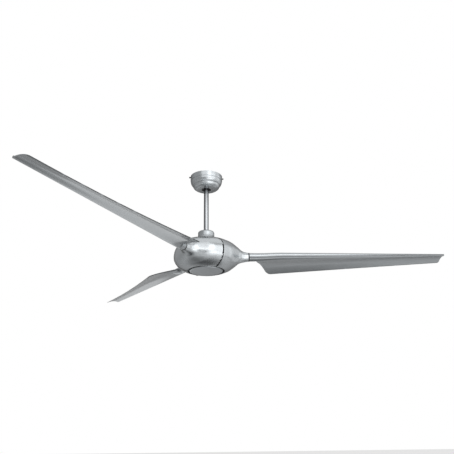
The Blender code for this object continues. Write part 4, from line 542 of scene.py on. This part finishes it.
dress(bearing_steel, "lower_bearing_inner_ring", "lower_bearing_outer_ring", "lower_bearing_balls")
dress(stator_iron, "stator_core")
dress(winding_copper, "stator_windings")
dress(rotor_steel, "rotor_ring")
dress(magnet_dark, "rotor_magnet")
dress(bell_alloy, "rotor_bell_top", "rotor_bell_bottom")
dress(pin_steel, "rotor_bolt_1", "rotor_bolt_2", "rotor_bolt_3", "shaft_nut")


# Blade arms. Die-cast alloy, bolted to the rotor's ring inside the housing, with a round spigot
# that runs out through the neck into the blade.
arm_alloy = new_material(
    "arm_alloy", cast_skin, (0.50, 0.50, 0.52), (0.5, 600.0, 0.08, 0.3), 0.95
)
dress(arm_alloy, "blade_arm_1", "blade_arm_2", "blade_arm_3")
blade_turns = (0.0, whole_turn / 3.0, whole_turn * 2.0 / 3.0)


# Housing pods. Three die-cast shells that close round the motor. Each grows out of a rounded
# body into a neck for its blade, and all are painted satin silver.
housing_radius = 0.1430
housing_top = 0.0810
housing_bottom = 0.0735
roundness = 2.25
shell = 0.0026
bend = housing_radius * 0.5
neck_end = 0.1880
neck_radius = 0.0192
mouth_radius = 0.0817
mouth_rim = 0.0010
mouth_level = -0.0400
crown_radius = 0.0245
lip_depth = 0.0024
lip_gap = 0.01
lip_facets = 36
pod_edge = 0.0004
seam_turn = math.radians(2.3)
seam_half_gap = 0.0010
seam_margin = 0.0002
pod_points = 96
body_steps = 14
neck_steps = 36
pod_flow = (
    (0.000, 1.000, 1.000, 1.000),
    (0.238, 0.852, 0.814, 0.801),
    (0.385, 0.721, 0.597, 0.614),
    (0.502, 0.571, 0.411, 0.393),
    (0.615, 0.403, 0.203, 0.201),
    (0.729, 0.187, 0.118, 0.086),
    (0.843, 0.075, 0.064, 0.032),
    (1.000, 0.000, 0.000, 0.000),
)


def smooth_table(table, place, column):
    """A value from a table's column, on a curve through its rows that never overshoots."""
    rows = [(row[0], row[column]) for row in table]
    steps = [(b[1] - a[1]) / (b[0] - a[0]) for a, b in zip(rows, rows[1:])]
    slopes = [steps[0]]
    for before, after in zip(steps, steps[1:]):
        slopes.append(0.0 if before * after <= 0.0 else 2.0 * before * after / (before + after))
    slopes.append(steps[-1])
    for index in range(len(rows) - 1):
        (x0, y0), (x1, y1) = rows[index], rows[index + 1]
        if place <= x1 or index == len(rows) - 2:
            run = x1 - x0
            t = min(max((place - x0) / run, 0.0), 1.0)
            lift = (1.0 + 2.0 * t) * (1.0 - t) ** 2 * y0 + t * t * (3.0 - 2.0 * t) * y1
            return lift + run * t * (1.0 - t) * ((1.0 - t) * slopes[index] - t * slopes[index + 1])


def body_height(radius, crown):
    """Height of the rounded body at a radius."""
    share = min(radius / housing_radius, 1.0)
    return crown * (1.0 - share ** roundness) ** (1.0 / roundness)


def pod_section(reach, count):
    """A pod's oval section at a reach: unlike above and below, round at the neck."""
    inner = min(reach, bend)
    width = math.sqrt(housing_radius ** 2 - inner ** 2)
    top = body_height(inner, housing_top)
    bottom = body_height(inner, housing_bottom)
    power = roundness
    if reach > bend:
        share = (reach - bend) / (neck_end - bend)
        top = neck_radius + (top - neck_radius) * smooth_table(pod_flow, share, 1)
        bottom = neck_radius + (bottom - neck_radius) * smooth_table(pod_flow, share, 2)
        width = neck_radius + (width - neck_radius) * smooth_table(pod_flow, share, 3)
        power = 2.0 + (roundness - 2.0) * (1.0 - share)
    points = []
    for index in range(count):
        angle = whole_turn * index / count
        side = math.sin(angle)
        up = math.cos(angle)
        height = top if up >= 0.0 else bottom
        y = width * math.copysign(abs(side) ** (2.0 / power), side)
        z = height * math.copysign(abs(up) ** (2.0 / power), up)
        points.append(Vector((reach, y, z)))
    return points


def lofted(sections):
    """A skin drawn out from section to section, open at both ends, and its last ring."""
    bm = bmesh.new()
    ring = bmesh.ops.create_circle(bm, segments=len(sections[0]), radius=1.0)["verts"]
    for vert, place in zip(ring, sections[0]):
        vert.co = place
    for section in sections[1:]:
        edges = [bm.edges.get(pair) for pair in zip(ring, ring[1:] + ring[:1])]
        grown = bmesh.ops.extrude_edge_only(bm, edges=edges)["geom"]
        fresh = {item for item in grown if isinstance(item, bmesh.types.BMVert)}
        ring = [
            next(link.other_vert(old) for link in old.link_edges if link.other_vert(old) in fresh)
            for old in ring
        ]
        for vert, place in zip(ring, section):
            vert.co = place
    return bm, ring


def sliced(bm, point, normal):
    """Everything past a plane, cut away."""
    geom = bm.verts[:] + bm.edges[:] + bm.faces[:]
    cut = bmesh.ops.bisect_plane(
        bm, geom=geom, dist=0.000001, plane_co=point, plane_no=normal, clear_outer=True
    )
    return [item for item in cut["geom_cut"] if isinstance(item, bmesh.types.BMVert)]


def round_border(verts, radius):
    """Cut vertices moved in or out to a true circle about Z."""
    for vert in verts:
        if vert.is_valid:
            vert.co.xy = vert.co.xy.normalized() * radius


def placed(bm, turn):
    """A mesh that lies along X at the origin, turned to its blade and lifted to the hub."""
    bmesh.ops.rotate(bm, verts=bm.verts, matrix=Matrix.Rotation(turn, 3, "Z"))
    bmesh.ops.translate(bm, verts=bm.verts, vec=(0.0, 0.0, hub_z))
    return bm


# Its colour darkens at a slant, partly as flake paint does and partly as painted shade at the
# rims.
pod_silver = new_material(
    "pod_silver", silver_flake, (0.58, 0.61, 0.63), (0.27, 1200.0, 0.03, 0.06), 0.9,
    rim_shade=(0.7, 0.62, 0.88),
)
# Near black with weak gloss for the seam walls, the mouth's edge and the lip: painted shade in the
# gaps.
pod_gap_shade = new_material(
    "pod_gap_shade", cast_skin, (0.012, 0.012, 0.013), (0.8, 600.0, 0.1, 0.3)
)
pod_gap_shade.node_tree.nodes["Principled BSDF"].inputs["Specular IOR Level"].default_value = 0.1
reaches = [bend * index / body_steps for index in range(body_steps)]
reaches += [bend + (neck_end - bend) * index / neck_steps for index in range(neck_steps + 1)]
seams = []
for side in (1.0, -1.0):
    seam = seam_turn + side * whole_turn / 6.0
    seams.append(Vector((-math.sin(seam), math.cos(seam), 0.0)) * side)
for index, turn in enumerate(blade_turns):
    bm, _ = lofted([pod_section(reach, pod_points) for reach in reaches])
    bmesh.ops.recalc_face_normals(bm, faces=bm.faces)
    if sum(face.normal.z * face.calc_center_median().z for face in bm.faces) < 0.0:
        bmesh.ops.reverse_faces(bm, faces=bm.faces)
    mouth_point = (0.0, 0.0, -body_height(mouth_radius, housing_bottom))
    crown_point = (0.0, 0.0, body_height(crown_radius, housing_top))
    for away in seams:
        sliced(bm, away * -seam_half_gap, away)
    round_border(sliced(bm, mouth_point, (0.0, 0.0, -1.0)), mouth_radius)
    round_border(sliced(bm, crown_point, (0.0, 0.0, 1.0)), crown_radius)
    bmesh.ops.solidify(bm, geom=bm.verts[:] + bm.edges[:] + bm.faces[:], thickness=shell)
    # The seam walls take the near black, a painted shade in the seams.
    for face in bm.faces:
        middle = face.calc_center_median()
        if any(abs(middle.dot(away) + seam_half_gap) < seam_margin for away in seams):
            face.material_index = 1
    eased(bm, pod_edge, limit=60.0)
    # The mouth's edge and the faces just inside it take the near black too, a painted shade that
    # widens the dark gap round the cap.
    for face in bm.faces:
        middle = face.calc_center_median()
        if middle.z < mouth_level and middle.xy.length < mouth_radius + mouth_rim:
            face.material_index = 1
    lip_radius = mouth_radius + lip_depth
    outline = [(lip_radius, -0.0500), (lip_radius, -0.0606), (mouth_radius, -0.0618)]
    outline += [(mouth_radius, -0.0508), (0.0757, -0.0508), (0.0757, -0.0484)]
    outline += [(lip_radius, -0.0484)]
    lip = spun(outline, lip_facets, whole_turn / 3.0 - lip_gap * 2.0)
    lip_turn = Matrix.Rotation(seam_turn - whole_turn / 6.0 + lip_gap, 3, "Z")
    bmesh.ops.rotate(lip, verts=lip.verts, matrix=lip_turn)
    mesh = bpy.data.meshes.new("pod_lip")
    lip.to_mesh(mesh)
    lip.free()
    count = len(bm.faces)
    bm.from_mesh(mesh)
    bpy.data.meshes.remove(mesh)
    bm.faces.ensure_lookup_table()
    # The lip inside the gap is near black, a painted shade.
    for face in bm.faces[count:]:
        face.material_index = 1
    shell_mats = [pod_silver, pod_gap_shade]
    pod = piece(f"housing_shell_{index + 1}", placed(bm, turn), shell_mats, limit=32.0)
    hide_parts(f"housing_pod_{index + 1}")
    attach(pod, "rotor")
for index in (1, 2, 3):
    dress(dark_screw, f"pod_top_screw_{index}", f"pod_bottom_screw_{index}")


# Neck rings. Black rubber rings, moulded, that sit on the arms between neck and blade. A small
# bead stands proud of the joint and shows as its dark line.
neck_rubber = new_material(
    "neck_rubber", moulded_grain, (0.018, 0.018, 0.018), (0.7, 1500.0, 0.1, 0.2)
)
ring_facets = 64
for index, turn in enumerate(blade_turns):
    outline = [(0.0162, 0.1884), (0.0190, 0.1884), (0.0190, 0.1872), (0.0194, 0.1869)]
    outline += [(0.0197, 0.1874), (0.0198, 0.1893), (0.0197, 0.1912), (0.0194, 0.1917)]
    outline += [(0.0189, 0.1914), (0.0189, 0.1902), (0.0162, 0.1902)]
    bm = spun(outline, ring_facets)
    bmesh.ops.rotate(bm, verts=bm.verts, matrix=Matrix.Rotation(whole_turn / 4.0, 3, "Y"))
    ring = piece(f"neck_joint_ring_{index + 1}", placed(bm, turn), [neck_rubber])
    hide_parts(f"neck_ring_{index + 1}")
    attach(ring, "rotor")


# Blades. Each is one hollow moulding, painted silver: a round root tube that runs on as a roll
# along the leading edge, and a twisted, cambered plate that narrows to a square tip. The underside
# runs on from the roll's bottom. A band along the trailing edge is darker, a painted shade for the
# edge's dark line.
blade_start = 0.1905
blade_tip = 1.0675
tube_radius = 0.0190
tip_roll = 0.0042
tip_corner = 0.0080
tip_rounding = 0.0006
trail_start = 0.2886
bend_start = 0.2140
bend_end = 0.3400
roll_forward = -0.0038
roll_lift = (0.0017, 0.0094)
trail_back = (0.1433, 0.0656)
trail_drop = (0.0385, 0.0062)
hollow_back = 0.0099
hollow_drop = 0.0020
camber_share = (0.020, 0.085)
half_plate = (0.0030, 0.0018)
half_edge = (0.0018, 0.0012)
underside_angle = math.radians(74.0)
underside_run = 4.5
underside_limit = 0.7
edge_flat = 0.0045
# Width of the band along the trailing edge that gets a painted shade.
edge_shade_width = 0.0032
bare_tube = 0.2100
roll_steps = 35
top_steps = 18
edge_steps = 8
under_steps = 8
fairing_steps = 10
root_curve = (
    (0.2180, 0.0190),
    (0.2238, 0.0332),
    (0.2300, 0.0446),
    (0.2400, 0.0556),
    (0.2520, 0.0749),
    (0.2640, 0.1006),
    (0.2760, 0.1257),
    (0.2880, 0.1380),
    (0.2925, 0.1404),
    (0.3010, 0.1414),
)


def leading_roll(reach):
    """Centre (y, z) and radius of the roll along the leading edge."""
    share = (reach - blade_start) / (blade_tip - blade_start)
    part = min(max((reach - bend_start) / (bend_end - bend_start), 0.0), 1.0)
    ramp = part * part * (3.0 - 2.0 * part)
    centre = Vector((roll_forward * ramp, mixed(*roll_lift, share) * ramp))
    return centre, mixed(tube_radius, tip_roll, share)


def trailing_line(reach):
    """The trailing edge (y, z), a shallow hollow from root corner to tip."""
    share = (reach - trail_start) / (blade_tip - trail_start)
    hollow = 4.0 * share * (1.0 - share)
    back = mixed(*trail_back, share) - hollow_back * hollow
    return Vector((back, -mixed(*trail_drop, share) - hollow_drop * hollow))


def blade_section(reach, span):
    """One section: round the roll, along the top, round the edge and back below.

    span is where the plate ends, and None for the bare root tube.
    """
    lead, roll = leading_roll(reach)
    chord = trailing_line(reach) - lead
    out = (reach - blade_start) / (blade_tip - blade_start)
    camber = mixed(*camber_share, out) * chord.length
    normal = Vector((-chord.y, chord.x)).normalized()
    thick = mixed(*half_plate, out)
    edge = mixed(*half_edge, out)
    little = 0.01

    def plate(share, side):
        middle = lead + chord * share + normal * camber * 4.0 * share * (1.0 - share)
        return middle + normal * mixed(thick, edge, min(share, 1.0)) * side

    start = math.sqrt(max(roll ** 2 - thick ** 2, 0.0)) / chord.length
    upper = plate(start, 1.0) - lead
    high = math.atan2(upper.y, upper.x)
    low = math.atan2(chord.y, chord.x) - underside_angle
    sweep = whole_turn - (high - low)
    turns = [low - sweep * index / roll_steps for index in range(roll_steps + 1)]
    points = [lead + Vector((math.cos(turn), math.sin(turn))) * roll for turn in turns]
    if span is None:
        tube_steps = top_steps + edge_steps + under_steps + fairing_steps + 1
        for index in range(1, tube_steps):
            turn = high + (low - high) * index / tube_steps
            points.append(lead + Vector((math.cos(turn), math.sin(turn))) * roll)
        return [Vector((reach, point.x, point.y)) for point in points]
    end = (span - lead.x) / chord.x
    run_out = mixed(thick, edge, min(end, 1.0))
    stop = max(end - run_out / chord.length, start)
    tops = [index / top_steps for index in range(1, top_steps + 1)]
    points += [plate(mixed(start, stop, share), 1.0) for share in tops]
    tail = (plate(stop, 1.0) + plate(stop, -1.0)) * 0.5
    along = (plate(stop, 0.0) - plate(stop - little, 0.0)).normalized()
    above = Vector((-along.y, along.x))
    for index in range(1, edge_steps):
        angle = whole_turn / 4.0 - whole_turn / 2.0 * index / edge_steps
        points.append(tail + (along * math.cos(angle) + above * math.sin(angle)) * run_out)
    join = min(start + underside_run * roll / chord.length, mixed(start, stop, underside_limit))
    points += [plate(stop, -1.0), plate(stop - edge_flat / chord.length, -1.0)]
    unders = [index / under_steps for index in range(1, under_steps)]
    points += [plate(mixed(stop, join, share), -1.0) for share in unders]
    foot = points[0]
    meeting = plate(join, -1.0)
    run = (meeting - foot).length
    leave = Vector((-math.sin(low), math.cos(low))) * run
    arrive = (meeting - plate(join - little, -1.0)).normalized() * run
    for index in range(fairing_steps):
        t = 1.0 - index / fairing_steps
        rest = 1.0 - t
        point = foot * ((1.0 + 2.0 * t) * rest ** 2) + meeting * (t * t * (3.0 - 2.0 * t))
        points.append(point + leave * (t * rest ** 2) - arrive * (t * t * rest))
    return [Vector((reach, point.x, point.y)) for point in points]


shoulder_stations = 48
shoulder_spacing = 1.15
plate_stations = 60
stations = [(blade_start, None), (0.2040, None), (0.2176, None)]
for index in range(1, shoulder_stations + 1):
    share = (index / shoulder_stations) ** shoulder_spacing
    reach = mixed(root_curve[0][0], root_curve[-1][0], share)
    stations.append((reach, smooth_table(root_curve, reach, 1)))
for index in range(1, plate_stations + 1):
    reach = mixed(root_curve[-1][0], blade_tip - tip_corner, index / plate_stations)
    stations.append((reach, trailing_line(reach).x))
for turn_deg in (15, 30, 45, 60, 72, 82, 90):
    angle = math.radians(turn_deg)
    reach = blade_tip - tip_corner + tip_corner * math.sin(angle)
    stations.append((reach, trailing_line(reach).x - tip_corner * (1.0 - math.cos(angle))))

# The colour is darker along the trailing edge, a painted shade for its dark line.
blade_silver = new_material(
    "blade_silver", drawn_streaks, (0.48, 0.507, 0.525), (0.18, 260.0, 0.035, 0.03), 0.85,
    place="blade_run", edge=("blade_edge_shade", 0.75),
)
spans = {round(reach, 5): span for reach, span in stations if span}
for index, turn in enumerate(blade_turns):
    bm, ring = lofted([blade_section(reach, span) for reach, span in stations])
    border = [bm.edges.get(pair) for pair in zip(ring, ring[1:] + ring[:1])]
    tip = bmesh.ops.contextual_create(bm, geom=border)
    bmesh.ops.recalc_face_normals(bm, faces=bm.faces)
    tube = [face for face in bm.faces if face.calc_center_median().x < bare_tube]
    if sum(face.normal.z * face.calc_area() * face.calc_center_median().z for face in tube) < 0.0:
        bmesh.ops.reverse_faces(bm, faces=bm.faces)
    bmesh.ops.bevel(
        bm,
        geom=tip["faces"][0].edges[:],
        offset=tip_rounding,
        affect="EDGES",
        segments=2,
        profile=0.5,
        material=-1,
        clamp_overlap=True,
    )
    run = bm.verts.layers.float_vector.new("blade_run")
    # Vertices in a band along the trailing edge are marked for the painted edge shade.
    edge_shade = bm.verts.layers.float.new("blade_edge_shade")
    for vert in bm.verts:
        span = spans.get(round(vert.co.x, 5))
        vert[run] = vert.co
        vert[edge_shade] = 1.0 if span and vert.co.y > span - edge_shade_width else 0.0
    blade = piece(f"twisted_blade_{index + 1}", placed(bm, turn), [blade_silver], limit=40.0)
    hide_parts(f"blade_{index + 1}")
    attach(blade, "rotor")
for index in (1, 2, 3):
    dress(pin_steel, f"blade_screw_inner_{index}", f"blade_screw_outer_{index}")


# Bottom plate and control board. The pressed plate hangs on the shaft's end and carries the
# board on its posts, inside the cap.
board_green = new_material(
    "board_green", moulded_grain, (0.03, 0.15, 0.06), (0.4, 700.0, 0.15, 0.1)
)
dress(zinc_sheet, "bottom_plate")
dress(board_green, "control_board")


# Bottom cap. A round pressed cover, silver painted and slightly dished, with a rounded rim. It
# snaps over the plate and stands still while the housing turns round it.
cap_silver = new_material(
    "cap_silver", silver_flake, (0.50, 0.53, 0.55), (0.34, 1200.0, 0.03, 0.05), 0.88
)
cap_flat = 0.0707
cap_base = -0.0650
cap_dish = 0.0016
cap_steps = 12
cap_facets = 96
outline = [(0.0723, -0.0532), (0.0723, -0.0634), (0.0721, -0.0641), (0.0716, -0.0647)]
outline += [(cap_flat, cap_base)]
for index in range(1, cap_steps):
    share = 1.0 - index / cap_steps
    outline.append((cap_flat * share, cap_base - cap_dish * (1.0 - share ** 2)))
outline += [(0.0, cap_base - cap_dish), (0.0, -0.0655), (0.0672, -0.0637), (0.0711, -0.0620)]
outline += [(0.0711, -0.0532)]
bm = spun([(radius, hub_z + height) for radius, height in outline], cap_facets)
cap = piece("bottom_cover", bm, [cap_silver], limit=30.0)
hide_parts("bottom_cap")
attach(cap, "hanging")


# Studio floor. Plain pale paper far below the fan. It and the background look white in the lens
# and through glass, and gloss sees little of them, as in a dark studio.
floor_size = 40.0
floor_height = -2.75
floor_glow = 0.5
gloss_share = 0.10


def seen_share(tree):
    """How much of the white a ray sees: all in the lens and through glass, a little in gloss."""
    rays = tree.nodes.new("ShaderNodeLightPath").outputs
    clear = add_sum(tree, "MAXIMUM", rays["Is Camera Ray"], rays["Is Transmission Ray"])
    gloss = add_sum(tree, "MULTIPLY", rays["Is Glossy Ray"], gloss_share)
    return add_sum(tree, "MAXIMUM", clear, gloss)


bm = bmesh.new()
bmesh.ops.create_grid(bm, x_segments=1, y_segments=1, size=floor_size)
bmesh.ops.translate(bm, verts=bm.verts, vec=(0.0, 0.0, floor_height))
floor_paper = bpy.data.materials.new("studio_floor")
floor_paper.use_nodes = True
tree = floor_paper.node_tree
shader = tree.nodes["Principled BSDF"]
shader.inputs["Base Color"].default_value = (0.84, 0.84, 0.84, 1.0)
shader.inputs["Roughness"].default_value = 0.9
shader.inputs["Emission Color"].default_value = (1.0, 1.0, 1.0, 1.0)
glow = add_range(tree, seen_share(tree), low=0.0, high=floor_glow, start=0.0, stop=1.0)
tree.links.new(glow, shader.inputs["Emission Strength"])
floor = piece("studio_floor", bm, [floor_paper])


# Lamps. Large soft boxes round the fan, out of the lens. Some are kept off the blades or the
# pods, as with cards in a studio, and a small box lights each of these alone.
hub = Vector((0.0, 0.0, hub_z))
blades = ("twisted_blade_1", "twisted_blade_2", "twisted_blade_3")
pods = ("housing_shell_1", "housing_shell_2", "housing_shell_3")


def softbox(name, place, size, glow, only=(), spared=()):
    """A lamp turned to the hub, with its brightness as a share of white.

    It lights every piece, or only those named, or all but the spared ones.
    """
    lamp = bpy.data.lights.new(name, "AREA")
    lamp.shape = "RECTANGLE"
    lamp.size, lamp.size_y = size
    lamp.energy = glow * math.pi * size[0] * size[1]
    obj = bpy.data.objects.new(name, lamp)
    obj.location = place
    obj.rotation_euler = (hub - Vector(place)).to_track_quat("-Z", "Y").to_euler()
    obj.visible_camera = False
    bpy.context.scene.collection.objects.link(obj)
    if only or spared:
        listed = bpy.data.collections.new(f"{name}_pieces")
        for piece_name in only or spared:
            listed.objects.link(bpy.data.objects[piece_name])
        for item in listed.collection_objects:
            item.light_linking.link_state = "INCLUDE" if only else "EXCLUDE"
        obj.light_linking.receiver_collection = listed


softbox("key_box", (1.85, -2.60, -0.30), (3.0, 4.3), 1.10, spared=blades)
softbox("front_box", (-0.05, -3.80, 1.25), (4.9, 3.7), 0.80)
softbox("low_box", (0.85, -1.95, -1.50), (1.9, 1.5), 0.60, spared=blades)
softbox("blade_box", (0.45, -2.20, 1.60), (2.2, 1.1), 1.40, only=blades)
softbox("pod_box", (0.18, -3.00, -0.20), (1.2, 1.2), 0.75, only=pods)
softbox("right_box", (3.30, -0.75, 0.10), (2.8, 4.8), 0.50)
softbox("side_box", (3.20, 1.30, -0.10), (3.0, 3.6), 0.35)
softbox("left_box", (-1.15, 3.20, -1.60), (1.5, 1.9), 0.42, spared=pods)
softbox("top_box", (0.3, -0.3, 2.6), (3.4, 3.4), 0.50)


# Flag. A round card below the fan that only reflections see, black in the middle and pale at its
# rim. It keeps the underside of the silver dark, as a dark floor does.
flag_centre = Vector((-0.05, 0.50, -2.20))
flag_radius = 1.54
flag_rim = 0.84
flag_middle = 0.03
fade_scale = 0.65
flag_black = bpy.data.materials.new("flag_black")
flag_black.use_nodes = True
tree = flag_black.node_tree
mapping = tree.nodes.new("ShaderNodeMapping")
mapping.inputs["Scale"].default_value = (fade_scale, fade_scale, fade_scale)
mapping.inputs["Location"].default_value = flag_centre * -fade_scale
tree.links.new(tree.nodes.new("ShaderNodeTexCoord").outputs["Object"], mapping.inputs["Vector"])
fade = tree.nodes.new("ShaderNodeTexGradient")
fade.gradient_type = "SPHERICAL"
tree.links.new(mapping.outputs["Vector"], fade.inputs["Vector"])
shader = tree.nodes["Principled BSDF"]
nearness = fade.outputs["Fac"]
shade = add_range(tree, nearness, low=flag_rim, high=flag_middle, start=0.0, stop=0.75)
tree.links.new(shade, shader.inputs["Base Color"])
shader.inputs["Specular IOR Level"].default_value = 0.0
bm = bmesh.new()
bmesh.ops.create_circle(bm, cap_ends=True, segments=48, radius=flag_radius)
bmesh.ops.translate(bm, verts=bm.verts, vec=flag_centre)
flag = piece("floor_flag", bm, [flag_black])
flag.visible_camera = False
flag.visible_diffuse = False
flag.visible_shadow = False


# Background. White in the lens and through glass, and elsewhere a dim even light, as from the
# studio's walls.
wall_light = 0.32
world = bpy.data.worlds.new("studio")
bpy.context.scene.world = world
world.use_nodes = True
tree = world.node_tree
tree.nodes.clear()
strength = add_range(tree, seen_share(tree), low=wall_light, high=1.0, start=0.0, stop=1.0)
background = tree.nodes.new("ShaderNodeBackground")
background.inputs["Color"].default_value = (1.0, 1.0, 1.0, 1.0)
tree.links.new(strength, background.inputs["Strength"])
tree.links.new(background.outputs[0], tree.nodes.new("ShaderNodeOutputWorld").inputs["Surface"])
bpy.context.scene.view_settings.view_transform = "Standard"
